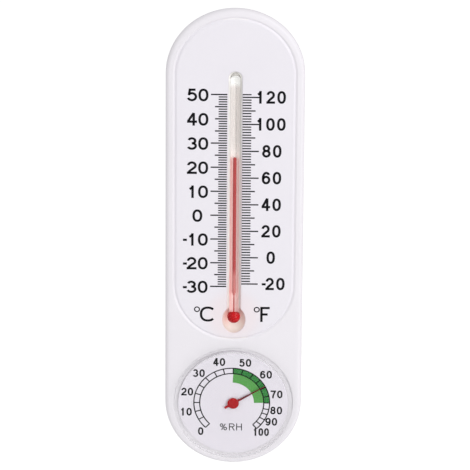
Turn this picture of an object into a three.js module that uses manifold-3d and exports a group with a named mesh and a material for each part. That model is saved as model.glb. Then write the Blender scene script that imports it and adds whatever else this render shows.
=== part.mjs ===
// Wall thermometer and hygrometer. A long white body with round ends carries a printed scale
// plate with a spirit thermometer in its trough, and below it a round dial hygrometer that is
// worked by a spiral humidity coil. A tray-shaped housing closes the back and hangs on a nail.
//
// Lengths are millimetres. Pieces are drawn as seen from the front: x to the right, y up and
// z out from the wall, with the nail at 0, 0. The last group stands the instrument up, so that
// in the finished model +Z is up, the wall is the plane y = 0 and the face looks along -Y.

import * as THREE from "three";
import { mergeVertices } from "three/addons/utils/BufferGeometryUtils.js";
import ManifoldModule from "manifold-3d";

const wasm = await ManifoldModule();
wasm.setup();

// Body outline and depth
const bodyWidth = 64;
const hangDrop = 17;
const faceHeight = 15;
const edgeRound = 2.2;
const crownFall = 0.12;
const shellRim = 0.6;
const partingGap = 0.1;
const housingStep = 0.2;
const wallLean = 5.85;
const backRound = 2.5;
const housingWall = 1.9;
const housingFloor = 1.8;
const tongueThickness = 0.8;
const tongueHeight = 0.8;
const tongueGap = 0.2;

// Scale plate, the groove round it and the trough for the tube
const plateMargin = 4.25;
const plateFoot = 11.85;
const plateThickness = 1.2;
const plateSideGap = 0.2;
const seatGap = 0.1;
const grooveWidth = 1.9;
const grooveDepth = 0.9;
const troughHalfWidth = 3.85;
const troughEndGap = 1.5;
const troughSkin = 1.2;
const slotGap = 0.2;
const dishHalfWidth = 5.35;
const dishHalfHeight = 6.7;
const dishDrop = 2;
const cementDepth = 0.5;
const cementRadius = 2.3;

// Thermometer tube and its scale
const tubeTipDrop = 31.1;
const tubeLength = 121.3;
const tubeRadius = 2.3;
const tubeAxisDrop = 0.4;
const bulbRadius = 2.8;
const tipSolid = 4.6;
const boreRadius = 0.75;
const capillaryBoreRadius = 0.45;
const bulbWall = 0.5;
const spiritGap = 0.12;
const neckTaper = 2;
const boreSpare = 2.8;
const meniscusHeight = 1;
const meniscusDip = 0.3;
const meniscusSlopeShare = 0.8;
const ventRadius = 0.4;
const ventDrop = 1.2;
const scaleHeadDrop = 10.25;
const scaleFootRise = 15.05;
const lowestDegrees = -30;
const highestDegrees = 50;
const shownDegrees = 24;

// Dial, its cover and the cup that holds the movement
const crystalMargin = 3.9;
const dialSpace = 4.65;
const crystalWall = 1.8;
const crystalThickness = 1.2;
const crystalProud = 2.9;
const crystalRound = 0.7;
const dialSideGap = 0.3;
const dialThickness = 0.4;
const dialHoleRadius = 1.3;
const flangeThickness = 0.9;
const seatDepth = 1.4;
const seatRingWall = 2.5;
const seatRingHeight = 1.5;
const cupSideGap = 1.7;
const cupWall = 1.4;
const cupBackGap = 1.6;
const cupChamfer = 0.8;
const cupVentInner = 6.5;
const cupVentInset = 3;
const cupVentWidth = 3;
const cupVentCount = 8;
const lugWidth = 5;
const lugReach = 0.7;
const lugLength = 2.4;
const lugCount = 3;
const fingerSlit = 0.8;

// Movement: pointer, arbor, coil, bridge and the bush that calibrates it
const arborRadius = 0.5;
const runningGap = 0.08;
const arborFootGap = 0.3;
const hubRadius = 2.7;
const hubThickness = 0.8;
const hubCrownShare = 0.8;
const hubClearance = 0.2;
const hubSkin = 0.25;
const needleEndGap = 8.8;
const needleRootWidth = 1.1;
const needleTipWidth = 0.3;
const needleThickness = 0.3;
const tailLength = 4.6;
const tailWidth = 1.1;
const shownHumidityAngle = 31;
const colletRadius = 1.8;
const bushCoilGap = 1.5;
const coilStrip = 0.35;
const coilTurns = 4;
const coilGap = 0.2;
const armSwingGap = 2.05;
const armThickness = 0.6;
const armWidth = 4;
const tabThickness = 0.8;
const bushRadius = 3;
const bushFlangeRadius = 4;
const bushFlangeThickness = 0.9;
const bushCrown = 0.4;
const bushSlotWidth = 0.9;
const bushSlotDepth = 0.5;
const bridgeThickness = 1;
const bridgeWidth = 7;
const bridgeDialGap = 2;
const postInset = 4.6;
const postRadius = 2.6;
const frontBushRadius = 1.5;
const frontBushFlange = 2.2;
const frontBushLip = 0.5;
const bridgeScrewRadius = 1.2;
const bridgeScrewHead = 2.1;
const bridgeScrewHeadHeight = 1.2;
const bridgeScrewLength = 5;

// Fasteners, hanger, vents and ribs of the housing
const screwInset = 15;
const upperScrewDrop = 27;
const lowerScrewRise = 36;
const screwRadius = 1.3;
const screwHeadRadius = 2.7;
const screwHeadHeight = 1.8;
const screwCrownShare = 0.7;
const screwHeadSink = 0.35;
const screwLength = 8.4;
const screwWeb = 1.8;
const screwGap = 0.3;
const recessArm = 2.6;
const recessWidth = 0.7;
const recessDepth = 0.9;
const postWall = 1.6;
const bossWall = 1.9;
const bossGap = 0.1;
const keyholeSlotRadius = 2.2;
const keyholeHeadRadius = 4.5;
const keyholeDrop = 9;
const keyholeRim = 1.8;
const keyholeRimHeight = 1.2;
const grilleMargin = 3;
const grilleSlot = 2.2;
const grillePitch = 4.4;
const accessRadius = 3.6;
const accessRim = 1.4;
const cupRingInset = 4;
const cupRingWall = 1.2;
const ribThickness = 1.2;
const ribHeight = 3;
const ribInset = 1.5;
const ribEndInset = 11;
const ribCount = 5;

// How finely curves are drawn, and how far a cutter runs past what it cuts
const endSteps = 20;
const bulbSteps = 8;
const roundSteps = 3;
const largeSegments = 40;
const smallSegments = 16;
const slotSteps = 4;
const overrun = 1;
const weld = 0.0001;

// Heights above the wall, and places along the body, that several pieces share
const quarterTurn = Math.PI / 2;
const halfWidth = bodyWidth / 2;
const bodyTop = hangDrop;
const upperEnd = bodyTop - halfWidth;
const tubeTip = bodyTop - tubeTipDrop;
const bulbCentre = tubeTip - tubeLength;
const plateRadius = halfWidth - plateMargin;
const plateBottom = bulbCentre - plateFoot;
const plateLowerEnd = plateBottom + plateRadius;
const crystalRadius = halfWidth - crystalMargin;
const lowerEnd = plateBottom - dialSpace - crystalRadius;
const partingHeight = faceHeight - crownFall - edgeRound - shellRim;
const housingTop = partingHeight - partingGap;
const housingRadius = halfWidth - housingStep;
const recessFloor = faceHeight - plateThickness - seatGap;
const flankWidth = (grooveWidth - plateSideGap) / 2;
const tubeAxis = faceHeight - tubeAxisDrop;
const dishCentre = bulbCentre - dishDrop;
const troughDepth = tubeAxisDrop + tubeRadius + seatGap;
const dishDepth = tubeAxisDrop + bulbRadius + cementDepth;
const archCentre = tubeTip + troughEndGap - troughHalfWidth;
const highestMark = tubeTip - scaleHeadDrop;
const lowestMark = bulbCentre + scaleFootRise;
const degreeHeight = (highestMark - lowestMark) / (highestDegrees - lowestDegrees);
const seatFloor = faceHeight - seatDepth;
const flangeBack = seatFloor + seatGap;
const flangeFront = flangeBack + flangeThickness;
const dialBack = flangeFront + seatGap;
const dialFace = dialBack + dialThickness;
const crystalFront = faceHeight + crystalProud;
const crystalInside = crystalFront - crystalThickness;
const cupBack = housingFloor + cupBackGap;
const cupRadius = housingRadiusAt(cupBack) - housingWall - cupSideGap;
const cupFloor = cupBack + cupWall;
const ringBack = partingHeight - seatRingHeight;
const seatHoleRadius = cupRadius + dialSideGap;
const bushBack = cupBack - seatGap - bushFlangeThickness;
const armBack = cupFloor + seatGap;
const armFront = armBack + armThickness;
const bushFront = armFront + bushCrown;
const coilBack = bushFront + coilGap;
const coilStart = colletRadius + coilGap + coilStrip / 2;
const postReach = cupRadius - cupWall - postInset;
const armReach = postReach - postRadius - armSwingGap;
const tabInside = armReach - tabThickness;
const coilEnd = tabInside - coilGap - coilStrip / 2;
const bridgeFront = dialBack - bridgeDialGap;
const bridgeBack = bridgeFront - bridgeThickness;
const coilFront = bridgeBack - frontBushLip - bushCoilGap;
const pivotRadius = arborRadius + runningGap;
const postTop = screwHeadSink + screwHeadHeight + seatGap + screwWeb;
const screwPlaces = [bodyTop - upperScrewDrop, lowerEnd + lowerScrewRise].flatMap((y) => [
  new THREE.Vector2(screwInset - halfWidth, y),
  new THREE.Vector2(halfWidth - screwInset, y),
]);

// The housing's outside narrows evenly from the parting line to the wall
function housingRadiusAt(height) {
  return housingRadius - (wallLean * (housingTop - height)) / housingTop;
}

function readingHeight(degrees) {
  return lowestMark + (degrees - lowestDegrees) * degreeHeight;
}

// Solids: a geometry is welded into a solid, cut or joined, and turned back into a geometry

function enclosedVolume(position, corners) {
  const a = new THREE.Vector3();
  const b = new THREE.Vector3();
  const c = new THREE.Vector3();
  let sum = 0;
  for (let i = 0; i < corners.length; i += 3) {
    a.fromArray(position, corners[i] * 3);
    b.fromArray(position, corners[i + 1] * 3);
    c.fromArray(position, corners[i + 2] * 3);
    sum += a.dot(b.cross(c));
  }
  return sum;
}

function toSolid(geometry) {
  const bare = geometry.clone();
  bare.deleteAttribute("normal");
  bare.deleteAttribute("uv");
  const welded = mergeVertices(bare, weld);
  const position = welded.attributes.position.array;
  const index = welded.index.array;
  const corners = [];
  for (let i = 0; i < index.length; i += 3) {
    const [a, b, c] = [index[i], index[i + 1], index[i + 2]];
    if (a !== b && b !== c && c !== a) corners.push(a, b, c);
  }
  if (enclosedVolume(position, corners) < 0) corners.reverse();
  const mesh = new wasm.Mesh({
    numProp: 3,
    vertProperties: new Float32Array(position),
    triVerts: new Uint32Array(corners),
  });
  return new wasm.Manifold(mesh);
}

function toGeometry(solid) {
  const { vertProperties, triVerts } = solid.getMesh();
  const welded = new THREE.BufferGeometry();
  welded.setAttribute("position", new THREE.BufferAttribute(vertProperties, 3));
  welded.setIndex(new THREE.BufferAttribute(triVerts, 1));
  const faceted = welded.toNonIndexed();
  faceted.computeVertexNormals();
  return faceted;
}

function shaped(blank, additions, cuts) {
  let solid = toSolid(blank);
  for (const piece of additions) solid = solid.add(toSolid(piece));
  for (const piece of cuts) solid = solid.subtract(toSolid(piece));
  return toGeometry(solid);
}

// Basic forms, each from a low to a high height along z

function drum(radius, low, high, x = 0, y = 0, segments = smallSegments) {
  const geometry = new THREE.CylinderGeometry(radius, radius, high - low, segments);
  geometry.rotateX(quarterTurn);
  return geometry.translate(x, y, (low + high) / 2);
}

function block(width, height, low, high, x = 0, y = 0) {
  const geometry = new THREE.BoxGeometry(width, height, high - low);
  return geometry.translate(x, y, (low + high) / 2);
}

function revolved(profile, segments = largeSegments) {
  const points = profile.map(([radius, height]) => new THREE.Vector2(radius, height));
  return new THREE.LatheGeometry(points, segments).rotateX(quarterTurn);
}

function band(inner, outer, low, high, segments = largeSegments) {
  return revolved([[inner, low], [outer, low], [outer, high], [inner, high], [inner, low]], segments);
}

function capsuleShape(radius, top, bottom) {
  const shape = new THREE.Shape();
  shape.absarc(0, top, radius, 0, Math.PI);
  shape.absarc(0, bottom, radius, Math.PI, 2 * Math.PI);
  shape.closePath();
  return shape;
}

function prism(shape, low, high, curveSegments = endSteps) {
  const settings = { depth: high - low, bevelEnabled: false, curveSegments };
  return new THREE.ExtrudeGeometry(shape, settings).translate(0, 0, low);
}

function capsulePrism(radius, top, bottom, low, high) {
  return prism(capsuleShape(radius, top, bottom), low, high);
}

// A long form with round ends whose radius changes with height, from its lowest ring up

function capsuleLoft(profile, top, bottom) {
  const ringSize = 2 * (endSteps + 1);
  const position = [];
  for (const [radius, height] of profile) {
    for (let i = 0; i < ringSize; i += 1) {
      const lower = i > endSteps;
      const angle = (Math.PI * (i - (lower ? 1 : 0))) / endSteps;
      const x = radius * Math.cos(angle);
      const y = (lower ? bottom : top) + radius * Math.sin(angle);
      position.push(x, y, height);
    }
  }
  const index = [];
  const lastRing = (profile.length - 1) * ringSize;
  for (let start = 0; start < lastRing; start += ringSize) {
    for (let i = 0; i < ringSize; i += 1) {
      const a = start + i;
      const b = start + ((i + 1) % ringSize);
      index.push(a, b, b + ringSize, a, b + ringSize, a + ringSize);
    }
  }
  for (let i = 1; i < ringSize - 1; i += 1) {
    index.push(0, i + 1, i);
    index.push(lastRing, lastRing + i, lastRing + i + 1);
  }
  const geometry = new THREE.BufferGeometry();
  geometry.setAttribute("position", new THREE.Float32BufferAttribute(position, 3));
  geometry.setIndex(index);
  return geometry;
}

// Ring points of a rounded edge, from upright at its foot to level at its top
function roundedEdge(centreRadius, centreHeight, radius) {
  const rings = [];
  for (let i = 1; i <= roundSteps; i += 1) {
    const angle = (quarterTurn * i) / roundSteps;
    const out = centreRadius + radius * Math.cos(angle);
    rings.push([out, centreHeight + radius * Math.sin(angle)]);
  }
  return rings;
}

function ellipsoid(halfX, halfY, halfZ, y, height, steps) {
  const geometry = new THREE.SphereGeometry(1, 2 * steps, steps);
  return geometry.scale(halfX, halfY, halfZ).translate(0, y, height);
}

// A trough with an elliptic section along y, closed by a quarter dome at its upper end
function troughForm(halfWide, depth, centreTop, bottom) {
  const run = new THREE.CylinderGeometry(1, 1, 1, largeSegments / 2);
  run.scale(halfWide, centreTop - bottom, depth).translate(0, (centreTop + bottom) / 2, faceHeight);
  const dome = ellipsoid(halfWide, halfWide, depth, centreTop, faceHeight, endSteps / 2);
  return toSolid(run).add(toSolid(dome));
}

// Front shell: the shallow moulded face with its crowned rim

function screwBoss(place) {
  const bossRadius = screwRadius + screwGap + bossWall;
  return drum(bossRadius, postTop + bossGap, partingHeight + overrun, place.x, place.y);
}

function screwBore(place) {
  const depth = screwHeadSink + screwHeadHeight + screwLength + screwGap;
  return drum(screwRadius + screwGap / 2, postTop, depth, place.x, place.y);
}

function shellRibs() {
  const slotEdge = troughHalfWidth + troughSkin + slotGap + ribInset;
  const top = archCentre - ribInset;
  const bottom = dishCentre + dishHalfHeight + troughSkin;
  const low = partingHeight - ribHeight;
  const high = partingHeight + overrun;
  const ribs = [];
  for (const side of [-1, 1]) {
    const middle = side * (slotEdge + ribThickness / 2);
    ribs.push(block(ribThickness, top - bottom, low, high, middle, (top + bottom) / 2));
    for (let i = 1; i < ribCount; i += 1) {
      const y = top + ((bottom - top) * i) / ribCount;
      const length = halfWidth - ribEndInset - slotEdge;
      ribs.push(block(length, ribThickness, low, high, side * (slotEdge + length / 2), y));
    }
  }
  return ribs;
}

function frontShell() {
  const roundCentre = halfWidth - edgeRound;
  const plateEdge = plateRadius + plateSideGap;
  const outside = [
    [halfWidth, partingHeight],
    [halfWidth, partingHeight + shellRim],
    ...roundedEdge(roundCentre, partingHeight + shellRim, edgeRound),
    [plateEdge + flankWidth, faceHeight],
  ];
  const recess = [
    [plateEdge, recessFloor],
    [plateEdge, faceHeight - grooveDepth],
    [plateEdge + flankWidth, faceHeight],
    [plateEdge + 2 * flankWidth, faceHeight + grooveDepth],
  ];
  const below = partingHeight - overrun;
  const channelTop = partingHeight + tongueHeight + tongueGap;
  const tongueOuter = housingRadius - housingWall + tongueThickness;
  const channelWall = capsuleLoft(
    [[tongueOuter + tongueGap, below], [tongueOuter + tongueGap, channelTop]], upperEnd, lowerEnd);
  const channelCore = capsuleLoft(
    [[tongueOuter - tongueThickness - tongueGap, below - overrun],
      [tongueOuter - tongueThickness - tongueGap, channelTop + overrun]], upperEnd, lowerEnd);
  const channel = toGeometry(toSolid(channelWall).subtract(toSolid(channelCore)));
  const slotRadius = troughHalfWidth + troughSkin + slotGap;
  const slot = capsulePrism(slotRadius, archCentre, bulbCentre, below - ribHeight, recessFloor + seatGap);
  const dishHole = new THREE.Shape();
  const dishSide = dishHalfWidth + troughSkin + slotGap;
  const dishLength = dishHalfHeight + troughSkin + slotGap;
  dishHole.absellipse(0, dishCentre, dishSide, dishLength, 0, 2 * Math.PI);
  const dishCut = prism(dishHole, below - ribHeight, recessFloor + seatGap);
  const atDial = [0, lowerEnd, largeSegments];
  const seat = drum(crystalRadius + dialSideGap, seatFloor, faceHeight + overrun, ...atDial);
  const hole = drum(seatHoleRadius, ringBack - overrun, faceHeight, ...atDial);
  const ring = drum(seatHoleRadius + seatRingWall, ringBack, partingHeight + overrun, ...atDial);
  return shaped(
    capsuleLoft(outside, upperEnd, lowerEnd),
    [ring, ...screwPlaces.map(screwBoss), ...shellRibs()],
    [capsuleLoft(recess, upperEnd, plateLowerEnd), channel, slot, dishCut, seat, hole,
      ...screwPlaces.map(screwBore)]);
}

// Scale plate: the printed plate, with the trough for the tube and the dish for the bulb

function dishForm(spare, steps) {
  const [wide, high, deep] = [dishHalfWidth, dishHalfHeight, dishDepth].map((size) => size + spare);
  return toSolid(ellipsoid(wide, high, deep, dishCentre, faceHeight, steps));
}

function scalePlate() {
  const back = faceHeight - plateThickness;
  const edge = [
    [plateRadius, back],
    [plateRadius, faceHeight - grooveDepth],
    [plateRadius - flankWidth, faceHeight],
  ];
  const halfSteps = endSteps / 2;
  const plate = toSolid(capsuleLoft(edge, upperEnd, plateLowerEnd));
  const trough = troughForm(troughHalfWidth, troughDepth, archCentre, bulbCentre);
  const troughBack = troughForm(
    troughHalfWidth + troughSkin, troughDepth + troughSkin, archCentre, bulbCentre);
  const dish = dishForm(0, halfSteps);
  const dishBack = dishForm(troughSkin, halfSteps);
  const bodyHeight = bodyTop - lowerEnd + halfWidth;
  const front = toSolid(block(bodyWidth, bodyHeight, back + seatGap, faceHeight + dishDepth * 2,
    0, (upperEnd + lowerEnd) / 2));
  const skins = troughBack.add(dishBack).subtract(front);
  return toGeometry(plate.add(skins).subtract(trough).subtract(dish));
}

// Rear housing: a tray whose walls lean in towards the wall it hangs on

function keyhole(extra, low, high) {
  const slot = capsulePrism(keyholeSlotRadius + extra, 0, -keyholeDrop, low, high);
  const head = drum(keyholeHeadRadius + extra, low, high, 0, -keyholeDrop, largeSegments / 2);
  return toGeometry(toSolid(slot).add(toSolid(head)));
}

function grilleSlots() {
  const slots = [];
  const grilleRadius = cupRadius - cupRingInset - grilleMargin;
  const rows = Math.floor((grilleRadius - grilleSlot) / grillePitch);
  for (let row = -rows; row <= rows; row += 1) {
    const rise = row * grillePitch;
    const reach = Math.sqrt(grilleRadius ** 2 - rise ** 2) - grilleSlot / 2;
    const slot = new THREE.Shape();
    slot.absarc(reach, lowerEnd + rise, grilleSlot / 2, -quarterTurn, quarterTurn);
    slot.absarc(-reach, lowerEnd + rise, grilleSlot / 2, quarterTurn, 3 * quarterTurn);
    slot.closePath();
    slots.push(prism(slot, -overrun, housingFloor + overrun, slotSteps));
  }
  return slots;
}

function grille() {
  const guard = drum(accessRadius + accessRim, -2 * overrun, housingFloor + 2 * overrun, 0, lowerEnd);
  let cut = toSolid(drum(accessRadius, -overrun, housingFloor + overrun, 0, lowerEnd));
  for (const slot of grilleSlots()) cut = cut.add(toSolid(slot).subtract(toSolid(guard)));
  return toGeometry(cut);
}

function rearHousing() {
  const backCentre = housingRadiusAt(backRound) - backRound;
  const backEdge = roundedEdge(backCentre, 0, backRound)
    .map(([radius, height]) => [radius, backRound - height])
    .reverse();
  const outside = [
    ...backEdge,
    [housingRadiusAt(backRound), backRound],
    [housingRadius, housingTop],
  ];
  const inside = [
    [housingRadiusAt(housingFloor) - housingWall, housingFloor],
    [housingRadius - housingWall, housingTop],
    [housingRadius - housingWall, housingTop + tongueHeight + overrun],
  ];
  const tongue = capsuleLoft(
    [[housingRadius - housingWall + tongueThickness, housingTop - overrun],
      [housingRadius - housingWall + tongueThickness, housingTop + tongueHeight]], upperEnd, lowerEnd);
  const tray = toSolid(capsuleLoft(outside, upperEnd, lowerEnd))
    .add(toSolid(tongue))
    .subtract(toSolid(capsuleLoft(inside, upperEnd, lowerEnd)));
  const postRadiusOut = screwHeadRadius + screwGap + postWall;
  const sunk = housingFloor - overrun;
  const posts = screwPlaces.map((place) => drum(postRadiusOut, sunk, postTop, place.x, place.y));
  const holes = screwPlaces.flatMap((place) => [
    drum(screwRadius + screwGap, -overrun, postTop + overrun, place.x, place.y),
    drum(screwHeadRadius + screwGap, -overrun, postTop - screwWeb, place.x, place.y),
  ]);
  const ringInside = cupRadius - cupRingInset;
  const cupRing = band(ringInside, ringInside + cupRingWall, sunk, cupBack - seatGap)
    .translate(0, lowerEnd, 0);
  return shaped(
    toGeometry(tray),
    [...posts, cupRing, keyhole(keyholeRim, sunk, housingFloor + keyholeRimHeight)],
    [...holes, keyhole(0, -overrun, housingFloor + keyholeRimHeight + overrun), grille()]);
}

// Screws, drawn with the head's flat at z = 0 and the shank towards +z

function crossRecess(height) {
  const arm = block(recessArm, recessWidth, height - overrun, height + recessDepth);
  return [arm, arm.clone().rotateZ(quarterTurn)];
}

function coverScrew() {
  const tipLength = screwRadius;
  const profile = [
    [0, -screwHeadHeight],
    [screwHeadRadius * screwCrownShare, -screwHeadHeight],
    [screwHeadRadius, -screwHeadHeight / 2],
    [screwHeadRadius, 0],
    [screwRadius, 0],
    [screwRadius, screwLength - tipLength],
    [0, screwLength],
  ];
  return shaped(revolved(profile, smallSegments), [], crossRecess(-screwHeadHeight));
}

// Glass tube with its bulb, and the red spirit in it. Their axis is y.

function tubeOutline() {
  const points = [];
  const meeting = Math.acos(tubeRadius / bulbRadius);
  for (let i = 0; i <= bulbSteps; i += 1) {
    const angle = -quarterTurn + ((meeting + quarterTurn) * i) / bulbSteps;
    points.push([bulbRadius * Math.cos(angle), bulbCentre + bulbRadius * Math.sin(angle)]);
  }
  points[0][0] = 0;
  const tipCentre = tubeTip - tubeRadius;
  for (let i = 0; i <= roundSteps; i += 1) {
    const angle = (quarterTurn * i) / roundSteps;
    points.push([tubeRadius * Math.cos(angle), tipCentre + tubeRadius * Math.sin(angle)]);
  }
  points[points.length - 1][0] = 0;
  return points;
}

function spiritColumn(bulb, capillary, bore, wideStart, top) {
  const points = [];
  const meeting = Math.acos(capillary / bulb);
  for (let i = 0; i <= bulbSteps; i += 1) {
    const angle = -quarterTurn + ((meeting + quarterTurn) * i) / bulbSteps;
    points.push([bulb * Math.cos(angle), bulbCentre + bulb * Math.sin(angle)]);
  }
  points[0][0] = 0;
  points.push([capillary, wideStart - neckTaper]);
  points.push([bore, wideStart]);
  if (top > wideStart) points.push([bore, top]);
  points.push([0, top]);
  return points;
}

function turned(profile, segments = smallSegments) {
  const points = profile.map(([radius, height]) => new THREE.Vector2(radius, height));
  return new THREE.LatheGeometry(points, segments);
}

const boreFoot = readingHeight(lowestDegrees) - boreSpare;
const boreTop = tubeTip - tipSolid;
const meniscusTop = readingHeight(shownDegrees);
const threadRadius = boreRadius - spiritGap;

function glassTube() {
  const cavity = spiritColumn(bulbRadius - bulbWall, capillaryBoreRadius, boreRadius, boreFoot, boreTop);
  const vent = drum(ventRadius, -tubeRadius - overrun, 0, 0, boreTop - ventDrop, smallSegments);
  return shaped(turned(tubeOutline(), largeSegments / 2), [], [turned(cavity), vent]);
}

function bulbSpirit() {
  const top = boreFoot - spiritGap;
  const bulb = bulbRadius - bulbWall - spiritGap;
  const column = spiritColumn(bulb, capillaryBoreRadius - spiritGap, threadRadius, top, top);
  return shaped(turned(column), [], []);
}

function spiritThread() {
  const top = meniscusTop - meniscusHeight - spiritGap;
  return shaped(turned([[0, boreFoot], [threadRadius, boreFoot], [threadRadius, top], [0, top]]), [], []);
}

function spiritMeniscus() {
  const foot = meniscusTop - meniscusHeight;
  const profile = [
    [0, foot],
    [threadRadius, foot],
    [threadRadius, meniscusTop],
    [threadRadius / 2, meniscusTop - meniscusDip * meniscusSlopeShare],
    [0, meniscusTop - meniscusDip],
  ];
  return shaped(turned(profile), [], []);
}

function bulbCement() {
  const steps = endSteps / 2;
  const bed = dishForm(-seatGap, steps);
  const dabFoot = faceHeight - dishDepth - overrun;
  const dab = toSolid(drum(cementRadius, dabFoot, tubeAxis - bulbRadius / 2, 0, bulbCentre));
  const room = bulbRadius + seatGap;
  const bulb = toSolid(ellipsoid(room, room, room, bulbCentre, tubeAxis, steps));
  const stemRoom = tubeRadius + seatGap;
  const stem = new THREE.CylinderGeometry(stemRoom, stemRoom, 2 * room, largeSegments / 2);
  stem.translate(0, bulbCentre + room, tubeAxis);
  return toGeometry(bed.intersect(dab).subtract(bulb).subtract(toSolid(stem)));
}

// Hygrometer case: a flanged cup with vents, bridge posts and sprung lugs that catch the shell

function aroundDial(geometry, angle) {
  return geometry.rotateZ(angle);
}

function lug() {
  const front = ringBack - seatGap;
  const wedge = new THREE.Shape();
  wedge.moveTo(cupRadius - cupWall / 2, front);
  wedge.lineTo(cupRadius + dialSideGap + lugReach, front);
  wedge.lineTo(cupRadius + dialSideGap + lugReach, front - lugLength / 3);
  wedge.lineTo(cupRadius - cupWall / 2, front - lugLength);
  wedge.closePath();
  const settings = { depth: lugWidth, bevelEnabled: false };
  const geometry = new THREE.ExtrudeGeometry(wedge, settings).translate(0, 0, -lugWidth / 2);
  return geometry.rotateX(quarterTurn);
}

function fingerSlits() {
  const low = ringBack - seatGap - lugLength - fingerSlit;
  const high = partingHeight;
  const middle = cupRadius - cupWall / 2;
  const depth = cupWall + overrun;
  const side = lugWidth / 2 + fingerSlit;
  return [
    block(depth, fingerSlit, low, high, middle, side),
    block(depth, fingerSlit, low, high, middle, -side),
    block(depth, 2 * side + fingerSlit, low - fingerSlit, low, middle, 0),
  ];
}

function cupVent() {
  const outer = postReach - cupVentInset;
  const middle = (cupVentInner + outer) / 2;
  return block(outer - cupVentInner, cupVentWidth, cupBack - overrun, cupFloor + overrun, middle);
}

function hygrometerCase() {
  const inside = cupRadius - cupWall;
  const hole = bushRadius + runningGap;
  const cup = revolved([
    [hole, cupBack],
    [cupRadius - cupChamfer, cupBack],
    [cupRadius, cupBack + cupChamfer],
    [cupRadius, flangeBack],
    [crystalRadius - seatGap, flangeBack],
    [crystalRadius - seatGap, flangeFront],
    [inside, flangeFront],
    [inside, cupFloor],
    [hole, cupFloor],
    [hole, cupBack],
  ]);
  const additions = [];
  const cuts = [];
  for (const side of [-1, 1]) {
    const x = side * postReach;
    const screwFoot = bridgeFront - bridgeScrewLength - screwGap;
    additions.push(drum(postRadius, cupFloor - cupWall / 2, bridgeBack - seatGap, x));
    cuts.push(drum(bridgeScrewRadius + seatGap, screwFoot, bridgeBack + overrun, x));
  }
  for (let i = 0; i < lugCount; i += 1) {
    const angle = quarterTurn + (i * 2 * Math.PI) / lugCount;
    additions.push(aroundDial(lug(), angle));
    cuts.push(...fingerSlits().map((slit) => aroundDial(slit, angle)));
  }
  for (let i = 0; i < cupVentCount; i += 1) {
    cuts.push(aroundDial(cupVent(), ((i + 0.5) * 2 * Math.PI) / cupVentCount));
  }
  return shaped(cup, additions, cuts);
}

// Dial cover: a clear cap that stands proud of the shell

function dialCrystal() {
  const inside = crystalRadius - crystalWall;
  const edge = roundedEdge(crystalRadius - crystalRound, crystalFront - crystalRound, crystalRound);
  const profile = [
    [0, crystalInside],
    [inside, crystalInside],
    [inside, dialBack],
    [crystalRadius, dialBack],
    [crystalRadius, crystalFront - crystalRound],
    ...edge,
    [0, crystalFront],
  ];
  return shaped(revolved(profile), [], []);
}

function dialPlate() {
  const rim = crystalRadius - crystalWall - dialSideGap;
  return shaped(band(dialHoleRadius, rim, dialBack, dialFace), [], []);
}

// Pointer: a domed hub, a tapered needle and a short tail, drawn pointing along +x

function pointer() {
  const hubFront = crystalInside - hubClearance;
  const hubBack = hubFront - hubThickness;
  const hub = revolved([
    [0, hubBack],
    [hubRadius, hubBack],
    [hubRadius, hubBack + hubThickness / 2],
    [hubRadius * hubCrownShare, hubFront],
    [0, hubFront],
  ], largeSegments / 2);
  const needleLength = crystalRadius - crystalWall - needleEndGap;
  const blade = new THREE.Shape();
  blade.moveTo(-tailLength, -tailWidth / 2);
  blade.lineTo(0, -needleRootWidth / 2);
  blade.lineTo(needleLength, -needleTipWidth / 2);
  blade.lineTo(needleLength, needleTipWidth / 2);
  blade.lineTo(0, needleRootWidth / 2);
  blade.lineTo(-tailLength, tailWidth / 2);
  blade.closePath();
  const bladeBack = hubBack + seatGap;
  const bore = drum(pivotRadius, hubBack - overrun, hubFront - hubSkin);
  return shaped(hub, [prism(blade, bladeBack, bladeBack + needleThickness)], [bore]);
}

function arbor() {
  const foot = bushBack + bushFlangeThickness + arborFootGap;
  const head = crystalInside - hubClearance - hubSkin - seatGap;
  const profile = [[0, foot], [arborRadius, foot], [arborRadius, head], [0, head]];
  return shaped(revolved(profile, smallSegments), [], []);
}

function coilCollet() {
  return shaped(band(pivotRadius, colletRadius, coilBack, coilFront, smallSegments), [], []);
}

// Humidity coil: one flat strip wound in a spiral from the collet to the tab of the arm

function humidityCoil() {
  const steps = coilTurns * endSteps;
  const inner = [];
  const outer = [];
  for (let i = 0; i <= steps; i += 1) {
    const share = i / steps;
    const angle = share * coilTurns * 2 * Math.PI;
    const radius = coilStart + (coilEnd - coilStart) * share;
    const along = new THREE.Vector2(Math.cos(angle), Math.sin(angle));
    inner.push(along.clone().multiplyScalar(radius - coilStrip / 2));
    outer.push(along.clone().multiplyScalar(radius + coilStrip / 2));
  }
  const strip = new THREE.Shape([...outer, ...inner.reverse()]);
  return shaped(prism(strip, coilBack, coilFront), [], []);
}

// Arm: staked on the bush, with the upright tab that holds the coil's outer end

function coilArm() {
  const strip = block(armReach, armWidth, armBack, armFront, armReach / 2);
  const tab = block(tabThickness, armWidth, armBack, coilFront, armReach - tabThickness / 2);
  const eye = drum(bushRadius + armWidth / 2, armBack, armFront, 0, 0, largeSegments / 2);
  const hole = drum(bushRadius, armBack - overrun, armFront + overrun);
  return shaped(strip, [tab, eye], [hole]);
}

function calibrationBush() {
  const neck = bushRadius - seatGap;
  const pivot = bushBack + bushFlangeThickness;
  const profile = [
    [0, bushBack],
    [bushFlangeRadius, bushBack],
    [bushFlangeRadius, pivot],
    [neck, pivot],
    [neck, bushFront],
    [pivotRadius, bushFront],
    [pivotRadius, pivot],
    [0, pivot],
  ];
  const across = 2 * (bushFlangeRadius + overrun);
  const slot = block(across, bushSlotWidth, bushBack - overrun, bushBack + bushSlotDepth);
  return shaped(revolved(profile, largeSegments / 2), [], [slot]);
}

// Bridge across the cup, its bush for the arbor and its two screws

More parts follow.
